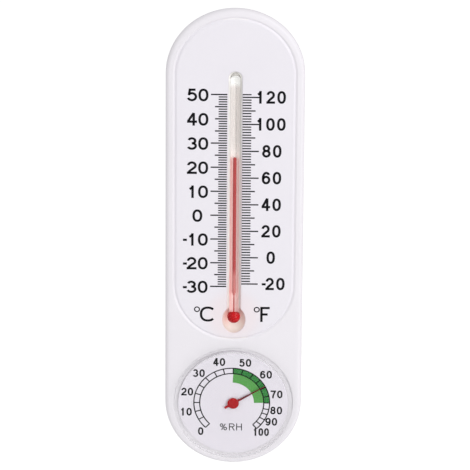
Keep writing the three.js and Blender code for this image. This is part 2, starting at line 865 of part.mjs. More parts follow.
function movementBridge() {
  const shape = new THREE.Shape();
  const reach = postReach;
  shape.absarc(reach, 0, bridgeWidth / 2, -quarterTurn, quarterTurn);
  shape.absarc(-reach, 0, bridgeWidth / 2, quarterTurn, 3 * quarterTurn);
  shape.closePath();
  const low = bridgeBack - overrun;
  const high = bridgeFront + overrun;
  const holes = [
    drum(frontBushRadius + seatGap, low, high),
    drum(bridgeScrewRadius + seatGap, low, high, reach),
    drum(bridgeScrewRadius + seatGap, low, high, -reach),
  ];
  return shaped(prism(shape, bridgeBack, bridgeFront, bulbSteps), [], holes);
}

function frontBush() {
  const lip = bridgeFront + seatGap;
  const profile = [
    [pivotRadius, bridgeBack - frontBushLip],
    [frontBushRadius, bridgeBack - frontBushLip],
    [frontBushRadius, lip],
    [frontBushFlange, lip],
    [frontBushFlange, lip + frontBushLip],
    [pivotRadius, lip + frontBushLip],
    [pivotRadius, bridgeBack - frontBushLip],
  ];
  return shaped(revolved(profile, smallSegments), [], []);
}

function bridgeScrew() {
  const head = bridgeFront + seatGap;
  const foot = bridgeFront - bridgeScrewLength;
  const profile = [
    [0, foot],
    [bridgeScrewRadius, foot],
    [bridgeScrewRadius, head],
    [bridgeScrewHead, head],
    [bridgeScrewHead, head + bridgeScrewHeadHeight / 2],
    [bridgeScrewHead * screwCrownShare, head + bridgeScrewHeadHeight],
    [0, head + bridgeScrewHeadHeight],
  ];
  return shaped(revolved(profile, smallSegments), [], []);
}

// Finishes

function finish(color, roughness, metalness = 0, opacity = 1) {
  return new THREE.MeshStandardMaterial({ color, roughness, metalness, opacity, transparent: opacity < 1 });
}

const whitePlastic = finish(0xece9ee, 0.42);
const platePlastic = finish(0xf0eef3, 0.38);
const clearPlastic = finish(0xf4f6f8, 0.08, 0, 0.3);
const glass = finish(0xf2f4f2, 0.03, 0, 0.35);
const redSpirit = finish(0xc0101c, 0.2);
const cement = finish(0xe9dfcf, 0.5, 0, 0.8);
const dialCard = finish(0xf2f0f5, 0.5);
const redPointer = finish(0xd0131f, 0.35);
const brass = finish(0xb9975a, 0.35, 1);
const steel = finish(0xb7b9bd, 0.3, 1);
const coilStripFinish = finish(0x8d7b5d, 0.45, 1);

// Assembly

function node(name, geometry, material) {
  const mesh = new THREE.Mesh(geometry, material);
  mesh.name = name;
  return mesh;
}

function thermometer() {
  const group = new THREE.Group();
  group.position.set(0, 0, tubeAxis);
  group.add(node("glass_tube", glassTube(), glass));
  group.add(node("bulb_spirit", bulbSpirit(), redSpirit));
  group.add(node("spirit_thread", spiritThread(), redSpirit));
  group.add(node("spirit_meniscus", spiritMeniscus(), redSpirit));
  return group;
}

function hygrometer() {
  const group = new THREE.Group();
  group.position.set(0, lowerEnd, 0);
  group.add(node("hygrometer_case", hygrometerCase(), whitePlastic));
  group.add(node("dial_plate", dialPlate(), dialCard));
  group.add(node("dial_crystal", dialCrystal(), clearPlastic));
  group.add(node("movement_bridge", movementBridge(), steel));
  group.add(node("front_bush", frontBush(), brass));
  group.add(node("calibration_bush", calibrationBush(), brass));
  group.add(node("coil_arm", coilArm(), brass));
  group.add(node("humidity_coil", humidityCoil(), coilStripFinish));
  group.add(node("coil_collet", coilCollet(), brass));
  group.add(node("arbor", arbor(), steel));
  const needle = node("pointer", pointer(), redPointer);
  needle.rotation.z = THREE.MathUtils.degToRad(shownHumidityAngle);
  group.add(needle);
  [-postReach, postReach].forEach((x, i) => {
    const screw = node(`bridge_screw_${i + 1}`, bridgeScrew(), steel);
    screw.position.x = x;
    group.add(screw);
  });
  return group;
}

function body() {
  const group = new THREE.Group();
  group.add(node("front_shell", frontShell(), whitePlastic));
  group.add(node("scale_plate", scalePlate(), platePlastic));
  group.add(node("rear_housing", rearHousing(), whitePlastic));
  group.add(node("bulb_cement", bulbCement(), cement));
  screwPlaces.forEach((place, i) => {
    const screw = node(`cover_screw_${i + 1}`, coverScrew(), steel);
    screw.position.set(place.x, place.y, screwHeadSink + screwHeadHeight);
    group.add(screw);
  });
  return group;
}

const instrument = new THREE.Group();
instrument.rotation.x = quarterTurn;
instrument.add(body(), thermometer(), hygrometer());

export default instrument;
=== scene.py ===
# Looks of a wall thermometer and hygrometer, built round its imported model.
# A long white body with round ends carries a printed scale plate with a red spirit thermometer
# in its trough. Under it a round dial hygrometer stands proud behind a clear cap. The face looks
# along -Y, +Z is up and the wall is the plane y = 0. Lengths are metres, and a height is the
# distance in front of the wall.

import math
from contextlib import contextmanager

import bmesh
import bpy
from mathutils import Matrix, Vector


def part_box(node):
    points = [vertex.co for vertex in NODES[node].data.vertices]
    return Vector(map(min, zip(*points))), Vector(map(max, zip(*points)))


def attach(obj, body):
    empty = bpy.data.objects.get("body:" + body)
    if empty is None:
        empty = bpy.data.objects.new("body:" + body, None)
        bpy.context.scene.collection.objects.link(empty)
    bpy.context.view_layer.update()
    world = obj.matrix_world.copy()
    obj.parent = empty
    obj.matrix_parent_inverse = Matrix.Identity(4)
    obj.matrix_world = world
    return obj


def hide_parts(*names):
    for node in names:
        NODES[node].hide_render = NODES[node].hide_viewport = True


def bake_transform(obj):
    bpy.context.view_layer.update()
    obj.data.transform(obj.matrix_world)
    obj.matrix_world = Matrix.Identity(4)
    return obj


bl_info = {
    "name": "Wall Thermo-Hygrometer",
    "version": (1, 0, 0),
    "blender": (4, 5, 0),
    "location": "3D View > Sidebar > Instrument",
    "description": "Models a wall thermometer with a dial hygrometer, piece by piece",
    "category": "Add Mesh",
}

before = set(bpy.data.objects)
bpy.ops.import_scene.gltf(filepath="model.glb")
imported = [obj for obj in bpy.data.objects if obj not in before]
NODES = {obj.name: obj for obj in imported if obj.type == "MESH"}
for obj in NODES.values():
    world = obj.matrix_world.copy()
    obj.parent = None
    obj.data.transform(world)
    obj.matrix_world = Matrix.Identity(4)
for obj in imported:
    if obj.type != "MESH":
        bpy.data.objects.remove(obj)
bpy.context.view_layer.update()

MM = 0.001
# A step too small to see, which keeps faces from lying on each other
HAIR = 0.005 * MM
# Corners closer than this are one corner
WELD = 0.001 * MM
QUARTER = math.pi / 2
FULL = 2 * math.pi
SMOOTH_ANGLE = math.radians(32)
ARC_STEPS = 64
ROUND_STEPS = 6
BOWL_STEPS = 20
SPIN_STEPS = 96
LETTER_STEPS = 40
# First and last angle of the round of an outer edge, and its steps
EDGE_TURNS = (9, 90, 10)
# Out of the face
OUTWARD = (0, -1, 0)
# Room round a piece in its cut, and how far a cutter reaches past a wall
PLAY = 0.2 * MM
BEYOND = 5 * MM
# Height at which the housing's screw posts end
POST_TOP = 4.05 * MM

SHELL_LOW, SHELL_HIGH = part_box("front_shell")
PLATE_LOW, PLATE_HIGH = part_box("scale_plate")
TUBE_LOW, TUBE_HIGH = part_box("glass_tube")
THREAD_LOW, THREAD_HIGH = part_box("spirit_thread")
CRYSTAL_LOW, CRYSTAL_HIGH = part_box("dial_crystal")
DIAL_LOW, DIAL_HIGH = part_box("dial_plate")
POINTER_LOW, POINTER_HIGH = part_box("pointer")

FACE = -SHELL_LOW.y
HALF_WIDTH = SHELL_HIGH.x
UPPER_END = SHELL_HIGH.z - HALF_WIDTH
LOWER_END = SHELL_LOW.z + HALF_WIDTH
PLATE_RADIUS = PLATE_HIGH.x
PLATE_FOOT = PLATE_LOW.z + PLATE_RADIUS
BULB_RADIUS = TUBE_HIGH.x
BULB_CENTRE = TUBE_LOW.z + BULB_RADIUS
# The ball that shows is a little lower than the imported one
BALL_MIDDLE = BULB_CENTRE - 0.45 * MM
TUBE_TIP = TUBE_HIGH.z
TUBE_AXIS = -(TUBE_LOW.y + TUBE_HIGH.y) / 2
LEVEL_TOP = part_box("spirit_meniscus")[1].z
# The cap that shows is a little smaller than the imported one
CAP_RADIUS = CRYSTAL_HIGH.x - 0.3 * MM
CRYSTAL_FRONT = -CRYSTAL_LOW.y
CRYSTAL_BACK = -CRYSTAL_HIGH.y
DIAL_FACE = -DIAL_LOW.y
DIAL_BACK = -DIAL_HIGH.y
HUB_FRONT = -POINTER_LOW.y
HUB_BACK = -POINTER_HIGH.y
BUSH_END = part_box("calibration_bush")[1].y
HOUSING_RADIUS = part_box("rear_housing")[1].x

# Tints that lie on parts of a material. Several are painted light or shade: the spirit's red glow and red
# light on plate, glass and opal, a highlight at the tube's tip and shade in the bush's slot.
PAINTED_RED_GLOW = (0.97, 0.64, 0.62)
PAINTED_SHADE_BRASS = (0.24, 0.17, 0.09)
PAINTED_RED_LIGHT_GLASS = (0.99, 0.84, 0.82)
GREY_OPAL = (0.83, 0.785, 0.76)
PAINTED_HIGHLIGHT_OPAL = (1, 1, 0.98)
PAINTED_RED_LIGHT_OPAL = (0.97, 0.80, 0.78)
PALE_SPIRIT = (0.65, 0.235, 0.225)
DARK_ENAMEL = (0.13, 0.004, 0.012)


def length(name, description, millimetres):
    """A length that a user can change, given in millimetres"""
    default = millimetres * MM
    return bpy.props.FloatProperty(name=name, description=description, default=default, unit="LENGTH")


def amount(name, description, default):
    """A plain number that a user can change"""
    return bpy.props.FloatProperty(name=name, description=description, default=default)


def angle(name, description, degrees):
    """An angle that a user can change, given in degrees"""
    default = math.radians(degrees)
    return bpy.props.FloatProperty(name=name, description=description, default=default, subtype="ANGLE")


def colour(name, description, *default):
    """A colour that a user can change"""
    return bpy.props.FloatVectorProperty(
        name=name, description=description, default=default, subtype="COLOR", size=3, min=0, max=1
    )


class BodySizes(bpy.types.PropertyGroup):
    """Sizes of the face, the scale plate and the housing"""

    edge_round: length("Edge round", "Radius of the face's outer edge", 2.2)
    crown_fall: length("Crown fall", "How far the face falls away towards its edge", 0.12)
    rim: length("Rim", "Upright rim under the rounded edge", 0.6)
    groove_width: length("Groove width", "Width of the groove round the plate", 1.9)
    groove_depth: length("Groove depth", "Depth of the groove round the plate", 0.55)
    plate_gap: length("Plate gap", "Room between the plate's edge and its recess", 0.01)
    plate_thickness: length("Plate thickness", "Thickness of the scale plate", 1.2)
    seat_gap: length("Seat gap", "Room between pieces that lie on each other", 0.1)
    lip: length("Lip", "Rounding of the lips of trough, dish and dial seat", 0.35)
    trough_half_width: length("Trough half width", "Half the width of the tube's trough", 3.45)
    trough_end_gap: length("Trough end gap", "Room above the tube's tip in the trough", 1.15)
    trough_depth: length("Trough depth", "Depth of the tube's trough", 2.8)
    trough_skin: length("Trough skin", "Wall of the trough and the dish", 1.2)
    dish_half_width: length("Dish half width", "Half the width of the bulb's dish", 5.35)
    dish_half_height: length("Dish half height", "Half the height of the bulb's dish", 6.7)
    dish_drop: length("Dish drop", "How far the dish's middle lies below the bulb", 2)
    dish_depth: length("Dish depth", "Depth of the bulb's dish", 3.7)
    seat_depth: length("Seat depth", "Depth of the seat of the dial", 1.4)
    dial_gap: length("Dial gap", "Room round the dial in its seat", 0.15)
    cup_hole: length("Cup hole", "Radius of the hole for the hygrometer's cup", 24.31)
    rib: length("Rib", "Thickness of the ribs behind the face", 1.2)
    rib_height: length("Rib height", "Height of the ribs behind the face", 3)
    wall: length("Wall", "Thickness of the housing's wall", 1.9)
    floor: length("Floor", "Thickness of the housing's back", 1.8)
    lean: length("Lean", "How far the housing's wall leans in towards the wall", 5.85)
    back_round: length("Back round", "Rounding of the housing's back edge", 2.5)
    tongue: length("Tongue", "Thickness and height of the tongue round the housing", 0.8)


class PrintSizes(bpy.types.PropertyGroup):
    """Sizes of the printed scales on the plate"""

    ink: length("Ink", "How proud the print stands", 0.03)
    degree: length("Degree", "Height of one degree Celsius", 1.2)
    zero: length("Zero", "Place of zero Celsius along the body", -84.35)
    line: length("Line", "Thickness of a degree line", 0.58)
    long_line: length("Long line", "Thickness of a numbered line", 0.64)
    left_edge: length("Left edge", "Where the Celsius lines end beside the tube", 3.65)
    right_edge: length("Right edge", "Where the Fahrenheit lines start beside the tube", 3.4)
    digit_height: length("Digit height", "Height of the scale's digits", 6.25)
    digit_pen: length("Digit pen", "Thickness of the strokes of the digits", 1.12)
    left_middle: length("Left middle", "Distance of the Celsius numbers from the tube", 17.2)
    right_middle: length("Right middle", "Distance of the Fahrenheit numbers from the tube", 17.0)
    left_drop: length("Left drop", "How far a Celsius number's middle lies below its line", 0.3)
    right_drop: length("Right drop", "How far a Fahrenheit number's middle lies below its line", -0.1)
    minus_width: length("Minus width", "Width of the bar before a number under zero", 1.85)
    minus_space: length("Minus space", "From the first digit to the middle of the bar", 0.8)
    unit_height: length("Unit height", "Height of the unit letters", 7.7)
    unit_middle: length("Unit middle", "Place of the unit letters along the body", -134.5)
    unit_ring: length("Unit ring", "Width of the unit marks' small ring", 2.85)
    ring_pen: length("Ring pen", "Thickness of the small ring's stroke", 0.55)


class DialSizes(bpy.types.PropertyGroup):
    """Sizes of the hygrometer's dial, cover and pointer"""

    cap_wall: length("Cap wall", "Wall of the clear cap", 1.8)
    cap_window: length("Cap window", "Thickness of the clear cap's window", 1.2)
    cap_round: length("Cap round", "Rounding of the clear cap's edge", 0.7)
    hole: length("Hole", "Radius of the dial's hole for the arbor", 1.3)
    ring_inner: length("Ring inner", "Radius of the inner line of the ring scale", 15.1)
    ring_outer: length("Ring outer", "Radius of the outer line of the ring scale", 17.85)
    band_inner: length("Band inner", "Inner radius of the comfort band", 10.45)
    line: length("Line", "Thickness of the ring's lines", 0.52)
    digit_height: length("Digit height", "Height of the dial's digits", 4.0)
    digit_width: length("Digit width", "Width of the dial's digits", 2.55)
    digit_pen: length("Digit pen", "Thickness of the strokes on the dial", 0.76)
    print_shift: length("Print shift", "How far the ring scale is printed off the middle", -0.65)
    number_shift: length("Number shift", "How far the numbers are printed off the middle", -1.3)
    sign_pen: length("Sign pen", "Thickness of the strokes of the humidity sign", 0.42)
    unit_drop: length("Unit drop", "How far the humidity sign lies below the middle", 12.6)
    hub: length("Hub", "Radius of the pointer's hub", 2.7)
    bore: length("Bore", "Radius of the hub's bore", 0.58)
    hub_skin: length("Hub skin", "Thickness of the hub over the end of the arbor", 0.25)
    needle: length("Needle", "Length of the needle", 17.5)
    needle_root: length("Needle root", "Width of the needle at the hub", 1.1)
    needle_tip: length("Needle tip", "Width of the needle at its tip", 0.3)
    blade: length("Blade", "Thickness of the needle", 0.3)
    tail: length("Tail", "Length of the pointer's tail", 4.6)
    tail_width: length("Tail width", "Width of the pointer's tail", 1.1)
    shown: angle("Shown", "Angle at which the pointer stands", 31)


class Finishes(bpy.types.PropertyGroup):
    """Colours of the instrument"""

    body: colour("Body", "Moulded white plastic", 0.80, 0.775, 0.815)
    plate: colour("Plate", "White plastic of the scale plate", 0.795, 0.77, 0.82)
    dial: colour("Dial", "Enamel of the dial", 0.82, 0.785, 0.85)
    ink: colour("Ink", "Black printing ink", 0.006, 0.006, 0.008)
    comfort: colour("Comfort", "Green of the comfort band", 0.09, 0.35, 0.07)
    comfort_ring: colour("Comfort ring", "Green where the band crosses the ring", 0.02, 0.215, 0.035)
    spirit: colour("Spirit", "Dyed spirit in the bulb", 0.54, 0.002, 0.006)
    column: colour("Column", "Dyed spirit in the thin bore, which looks paler", 0.50, 0.075, 0.075)
    enamel: colour("Enamel", "Red enamel of the pointer", 0.42, 0.006, 0.009)
    cement: colour("Cement", "Cement under the bulb", 0.70, 0.60, 0.48)
    # Painted light: the trough is paler than the plate, against the shade of its walls and the tube
    trough: colour("Trough", "Plastic in the trough behind the tube", 0.96, 0.94, 0.91)
    dish: colour("Dish", "Plastic of the dish, stained by the cement", 0.85, 0.76, 0.70)
    # Painted red glow of the spirit, faint pink on the plate round the dish
    blush: colour("Blush", "Faint pink of the plate round the dish", 0.84, 0.72, 0.735)
    # Painted light: the opal is this pale beside the spirit, against the shade of the column and trough
    opal: colour("Opal", "Opal backing in the glass behind the bore", 0.96, 0.89, 0.86)
    steel: colour("Steel", "Plated steel", 0.55, 0.56, 0.58)
    brass: colour("Brass", "Turned brass", 0.62, 0.43, 0.18)
    strip: colour("Strip", "Strip of the humidity coil", 0.30, 0.22, 0.14)


class StageSettings(bpy.types.PropertyGroup):
    """Camera, lamps and floor"""

    elevation: angle("Elevation", "Height of the camera above the level", 22.98)
    roll: angle("Roll", "Roll of the camera", 0.42)
    distance: length("Distance", "Distance of the camera", 2157)
    aim_across: length("Aim across", "Where the camera aims, across", 0.32)
    aim_height: length("Aim height", "Where the camera aims, along the body", -94.25)
    lens: amount("Lens", "Focal length in millimetres on a 36 mm sensor", 355.9)
    floor_drop: length("Floor drop", "How far the floor lies below the nail", 620)
    sky: amount("Sky", "Strength of the light from all round", 0.665)
    key: amount("Key", "Power of the lamp at the upper right", 16.5)
    fill: amount("Fill", "Power of the lamp at the left", 6)
    glow: amount("Glow", "Strength that the floor shows the camera of its own", 0.42)


# Selecting and shaping


def select_only(piece):
    """Selects one piece and makes it the active one"""
    bpy.ops.object.select_all(action="DESELECT")
    piece.select_set(True)
    bpy.context.view_layer.objects.active = piece


@contextmanager
def editing(piece):
    """Holds a piece in edit mode"""
    select_only(piece)
    bpy.ops.object.mode_set(mode="EDIT")
    yield
    bpy.ops.object.mode_set(mode="OBJECT")


def pick(kind, rule):
    """Selects the vertices, edges or faces that follow a rule"""
    bpy.ops.mesh.select_mode(type=kind)
    bpy.ops.mesh.select_all(action="DESELECT")
    mesh = bpy.context.edit_object.data
    shape = bmesh.from_edit_mesh(mesh)
    elements = {"VERT": shape.verts, "EDGE": shape.edges, "FACE": shape.faces}
    for element in elements[kind]:
        if rule(element):
            element.select_set(True)
    shape.select_flush_mode()
    bmesh.update_edit_mesh(mesh)


def added(name, add, **settings):
    """Adds a primitive and puts its place into its mesh"""
    bpy.ops.object.select_all(action="DESELECT")
    add(**settings)
    piece = bpy.context.object
    piece.name = name
    bpy.ops.object.transform_apply(location=True, rotation=True, scale=True)
    return piece


def drum(name, radius, low, high, x=0, z=0, steps=ARC_STEPS):
    """A round prism between two heights"""
    middle = (x, -(low + high) / 2, z)
    return added(name, bpy.ops.mesh.primitive_cylinder_add, vertices=steps, radius=radius,
                 depth=high - low, location=middle, rotation=(QUARTER, 0, 0))


def block(name, width, tall, low, high, x=0, z=0):
    """A square prism between two heights"""
    middle = (x, -(low + high) / 2, z)
    return added(name, bpy.ops.mesh.primitive_cube_add, size=1, location=middle,
                 scale=(width, high - low, tall))


def loft(name, profile, top, bottom):
    """A solid with round ends, drawn on from ring to ring. A ring is a radius and a height, and no
    ring is wider than the one before it."""
    radius, height = profile[0]
    facing = 1 if profile[1][1] > height else -1
    piece = added(name, bpy.ops.mesh.primitive_circle_add, vertices=2 * ARC_STEPS, radius=radius,
                  fill_type="NGON", location=(0, -height, top), rotation=(facing * QUARTER, 0, 0))
    with editing(piece):
        if top > bottom:
            split = top + HAIR
            bpy.ops.mesh.select_all(action="SELECT")
            bpy.ops.mesh.bisect(plane_co=(0, -height, split), plane_no=(0, 0, 1), threshold=HAIR / 10)
            pick("VERT", lambda vertex: vertex.co.z < top + HAIR / 2)
            bpy.ops.transform.translate(value=(0, 0, bottom - top))
            pick("EDGE", lambda edge: all(abs(v.co.z - split) < HAIR / 4 for v in edge.verts))
            bpy.ops.mesh.dissolve_edges(use_verts=False)
        pick("FACE", lambda face: True)
        for (now, here), (then, there) in zip(profile, profile[1:]):
            if then == now:
                bpy.ops.mesh.extrude_region_move(TRANSFORM_OT_translate={"value": (0, here - there, 0)})
            else:
                bpy.ops.mesh.inset(thickness=now - then, depth=facing * (there - here),
                                   use_even_offset=True, use_relative_offset=False)
        bpy.ops.mesh.select_mode(type="EDGE")
        bpy.ops.mesh.select_all(action="DESELECT")
        bpy.ops.mesh.select_non_manifold()
        if bpy.context.edit_object.data.total_edge_sel:
            bpy.ops.mesh.edge_face_add()
        bpy.ops.mesh.select_all(action="SELECT")
        bpy.ops.mesh.normals_make_consistent(inside=False)
    return piece


def drawn_on(points):
    """Makes the piece in edit mode one corner, and draws a line on from it through the points"""
    bpy.ops.mesh.select_mode(type="VERT")
    bpy.ops.mesh.select_all(action="SELECT")
    bpy.ops.mesh.merge(type="CENTER")
    for here, there in zip(points, points[1:]):
        bpy.ops.mesh.extrude_vertices_move(TRANSFORM_OT_translate={"value": there - here})


def turned(name, profile, centre, axis, steps=SPIN_STEPS, closed=False):
    """A solid turned round an axis through a centre. The profile gives places across and along."""
    across, along = Vector((1, 0, 0)), Vector(axis)
    points = [Vector(centre) + across * radius + along * rise for radius, rise in profile]
    piece = added(name, bpy.ops.mesh.primitive_plane_add, size=MM, location=points[0])
    with editing(piece):
        drawn_on(points + points[:1] * closed)
        bpy.ops.mesh.select_all(action="SELECT")
        bpy.ops.mesh.spin(steps=steps, angle=FULL, center=centre, axis=axis)
        bpy.ops.mesh.select_all(action="SELECT")
        bpy.ops.mesh.remove_doubles(threshold=WELD)
        bpy.ops.mesh.normals_make_consistent(inside=False)
    return piece


def placed(piece, x=0, y=0, z=0, turn=0, about="Y"):
    """Turns a piece and moves it, and puts its place into its mesh"""
    select_only(piece)
    setattr(piece.rotation_euler, about.lower(), turn)
    piece.location = (x, y, z)
    bpy.ops.object.transform_apply(location=True, rotation=True, scale=True)
    return piece


def copied(piece, name):
    """A copy with its own mesh"""
    copy = piece.copy()
    copy.data = piece.data.copy()
    copy.name = name
    bpy.context.collection.objects.link(copy)
    return copy


def merged(pieces):
    """Joins pieces into the first, each as an island of its own"""
    bpy.ops.object.select_all(action="DESELECT")
    for piece in pieces:
        piece.select_set(True)
    bpy.context.view_layer.objects.active = pieces[0]
    bpy.ops.object.join()
    return pieces[0]


def worked(piece, operation, *tools):
    """Unites a piece with tools, or cuts them out of it, and removes the tools"""
    for tool in tools:
        select_only(piece)
        modifier = piece.modifiers.new(operation, "BOOLEAN")
        modifier.operation = operation
        modifier.solver = "MANIFOLD"
        modifier.object = tool
        bpy.ops.object.modifier_apply(modifier=modifier.name)
        bpy.data.objects.remove(tool)
    return piece


def softened(piece, width=0, segments=2):
    """Rounds the edges of a piece and shades its curves smooth"""
    select_only(piece)
    if width:
        bevel = piece.modifiers.new("Edges", "BEVEL")
        bevel.width = width
        bevel.segments = segments
        bevel.limit_method = "ANGLE"
        bevel.angle_limit = SMOOTH_ANGLE
        bpy.ops.object.modifier_apply(modifier=bevel.name)
    bpy.ops.object.shade_smooth_by_angle(angle=SMOOTH_ANGLE)
    weights = piece.modifiers.new("Shading", "WEIGHTED_NORMAL")
    weights.keep_sharp = True
    bpy.ops.object.modifier_apply(modifier=weights.name)
    return piece


def dressed(piece, body, slot, look, *nodes):
    """Gives a finished piece its body and its material, and hides the nodes that it stands for. The slot is
    not used.
    """
    piece.data.materials.clear()
    piece.data.materials.append(look)
    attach(piece, body)
    if nodes:
        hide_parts(*nodes)
    return piece


def turns(start, end, steps):
    """Even steps from one angle to another, given in degrees"""
    return [math.radians(start + (end - start) * i / steps) for i in range(steps + 1)]


def rounding(radius, height, size, start, end, steps=ROUND_STEPS):
    """Rings of a rounded edge about a ring of centres, from one angle to another"""
    return [(radius + size * math.cos(turn), height + size * math.sin(turn))
            for turn in turns(start, end, steps)]


def bowl(half_width, depth, top, lip=0):
    """Rings of a rounded hollow, from its lip down nearly to the pole of its bottom"""
    rings = []
    if lip:
        rings = [(half_width + lip, top + 2 * lip), (half_width + lip, top + HAIR)]
        rings += [(half_width + lip * (1 - math.sin(turn)), top - lip * (1 - math.cos(turn)))
                  for turn in turns(0, 90, ROUND_STEPS)[1:-1]]
    first = math.asin(lip / depth)
    last = math.radians(86)
    for i in range(BOWL_STEPS + 1):
        turn = first + (last - first) * i / BOWL_STEPS
        rings.append((half_width * math.cos(turn), top - depth * math.sin(turn)))
    return rings


def valley(half_width, depth, top, lip):
    """Rings of a hollow with a soft shoulder, straight flanks and a rounded bottom"""
    shoulder = half_width + 2 * lip
    soft_edge = ((0.2, 0.24), (0.4, 0.45))
    bottom = ((0.53, 0.77), (0.45, 0.85), (0.35, 0.93), (0.22, 0.98), (0.05, 1))
    return [(shoulder, top + 2 * lip), (shoulder, top + HAIR), (half_width, top - lip / 7),
            *[(half_width - lip * wide, top - lip * deep) for wide, deep in soft_edge],
            *[(half_width * wide, top - depth * deep) for wide, deep in bottom]]


# Strokes of the printed figures, drawn in a frame one wide and one tall


def arc(x, y, wide, high, start, end, steps=LETTER_STEPS, squareness=2):
    """Points of a rounded arc. A squareness over 2 makes it fuller at its corners."""
    points = []
    for turn in turns(start, end, steps):
        across, up = math.cos(turn), math.sin(turn)
        points.append((
            x + wide * math.copysign(abs(across) ** (2 / squareness), across),
            y + high * math.copysign(abs(up) ** (2 / squareness), up),
        ))
    return points


def figure(character, over, above):
    """Strokes of one character. Over and above are half a pen across and upright."""
    low, high, left, right = -above, 1 + above, -over, 1 + over
    full = 2.3
    strokes = {
        "0": [arc(0.5, 0.5, 0.5, 0.5, 0, 360, squareness=full)],
        "1": [[(0.6, low), (0.6, high)], [(0.6, 1), (0.44, 0.85), (0.2, 0.75)]],
        "2": [arc(0.5, 0.71, 0.47, 0.29, 175, -38) + [(0.2, 0.18), (0.03, 0)], [(left, 0), (right, 0)]],
        "3": [arc(0.48, 0.755, 0.44, 0.245, 160, -90), arc(0.48, 0.265, 0.52, 0.265, 90, -160)],
        "4": [[(0.72, high), (-0.02, 0.31)], [(left, 0.27), (right, 0.27)], [(0.72, low), (0.72, high)]],
        "5": [[(0.18, 1), (0.95, 1)], [(0.22, high), (0.08, 0.47)], arc(0.47, 0.33, 0.53, 0.33, 145, -160)],
        "6": [arc(0.5, 0.31, 0.5, 0.31, 0, 360), arc(0.53, 0.52, 0.53, 0.48, 38, 180) + [(0, 0.3)]],
        "7": [[(left, 1), (right, 1)], [(1, 1), (0.68, 0.62), (0.48, 0.3), (0.38, low)]],
        "8": [arc(0.5, 0.765, 0.42, 0.235, 0, 360), arc(0.5, 0.265, 0.5, 0.265, 0, 360)],
        "9": [arc(0.5, 0.69, 0.5, 0.31, 0, 360), arc(0.47, 0.48, 0.53, 0.48, 218, 360) + [(1, 0.7)]],
        "-": [[(left, 0.46), (right, 0.46)]],
        "%": [arc(0.2, 0.78, 0.2, 0.22, 0, 360), arc(0.8, 0.22, 0.2, 0.22, 0, 360), [(0.8, 1), (0.2, 0)]],
        "R": [[(0, low), (0, high)], [(0, 1), (0.55, 1)], arc(0.55, 0.76, 0.42, 0.24, 90, -90),
              [(0.55, 0.52), (0, 0.52)], [(0.5, 0.52), (1, low)]],
        "H": [[(0, low), (0, high)], [(1, low), (1, high)], [(0, 0.52), (1, 0.52)]],
        "C": [arc(0.5, 0.5, 0.5, 0.5, 42, 318, squareness=full)],
        "F": [[(0, low), (0, high)], [(left, 1), (right, 1)], [(0, 0.5), (0.88, 0.5)]],
        "o": [arc(0.5, 0.5, 0.5, 0.5, 0, 360)],
    }
    return strokes[character]


def lettered(character, x, z, width, height, pen):
    """Strokes of a character whose outside has its middle at a place"""
    wide, high = width - pen, height - pen
    over, above = pen / 2 / wide, pen / 2 / high
    return [[(x + wide * (u - 0.5), z + high * (v - 0.5)) for u, v in stroke]
            for stroke in figure(character, over, above)]


def number(text, x, z, width, height, pen, advance):
    """Strokes of a row of characters of one width about a middle"""
    first = x - advance * (len(text) - 1) / 2
    strokes = []
    for i, character in enumerate(text):
        strokes += lettered(character, first + advance * i, z, width, height, pen)
    return strokes


def printed(name, strokes, pen_width, surface, ink):
    """Lays strokes on the surface at a height, with a flat pen, and makes them a mesh"""
    pen = bpy.data.objects.new(name + "_pen", bpy.data.curves.new(name + "_pen", "CURVE"))
    pen.data.dimensions = "2D"
    outline = pen.data.splines.new("POLY")
    outline.points.add(3)
    outline.use_cyclic_u = True
    half = pen_width / 2
    corners = [(-half, -ink), (half, -ink), (half, ink), (-half, ink)]
    for point, (x, y) in zip(outline.points, corners):
        point.co = (x, y, 0, 1)
    curve = bpy.data.curves.new(name, "CURVE")
    curve.dimensions = "3D"
    curve.twist_mode = "Z_UP"
    curve.bevel_mode = "OBJECT"
    curve.bevel_object = pen
    curve.use_fill_caps = True
    for stroke in strokes:
        spline = curve.splines.new("POLY")
        looped = (Vector(stroke[0]) - Vector(stroke[-1])).length < WELD
        points = stroke[:-1] if looped else stroke
        spline.use_cyclic_u = looped
        spline.points.add(len(points) - 1)
        for point, (x, y) in zip(spline.points, points):
            point.co = (x, y, 0, 1)
    piece = bpy.data.objects.new(name, curve)
    for item in (pen, piece):
        bpy.context.collection.objects.link(item)
    select_only(piece)
    bpy.ops.object.convert(target="MESH")
    bpy.data.objects.remove(pen)
    with editing(piece):
        bpy.ops.mesh.select_all(action="SELECT")
        bpy.ops.mesh.normals_make_consistent(inside=False)
    placed(piece, y=-surface, turn=QUARTER, about="X")
    return softened(piece)


# Materials


def wired(tree, kind, inputs, **settings):
    """A new node with its settings. Each input is given a value, or joined to a node's output."""
    made = tree.nodes.new(kind)
    for name, value in settings.items():
        setattr(made, name, value)
    for name, value in inputs.items():
        if isinstance(value, bpy.types.NodeSocket):
            tree.links.new(value, made.inputs[name])
        else:
            made.inputs[name].default_value = value
    return made


def reckoned(tree, operation, *values):
    """The result of a sum, a product or the like"""
    return wired(tree, "ShaderNodeMath", dict(enumerate(values)), operation=operation).outputs[0]


def distance(tree, place, point):
    """How far a place on the surface lies from a point"""
    return wired(tree, "ShaderNodeVectorMath", {0: place, 1: point}, operation="DISTANCE").outputs["Value"]


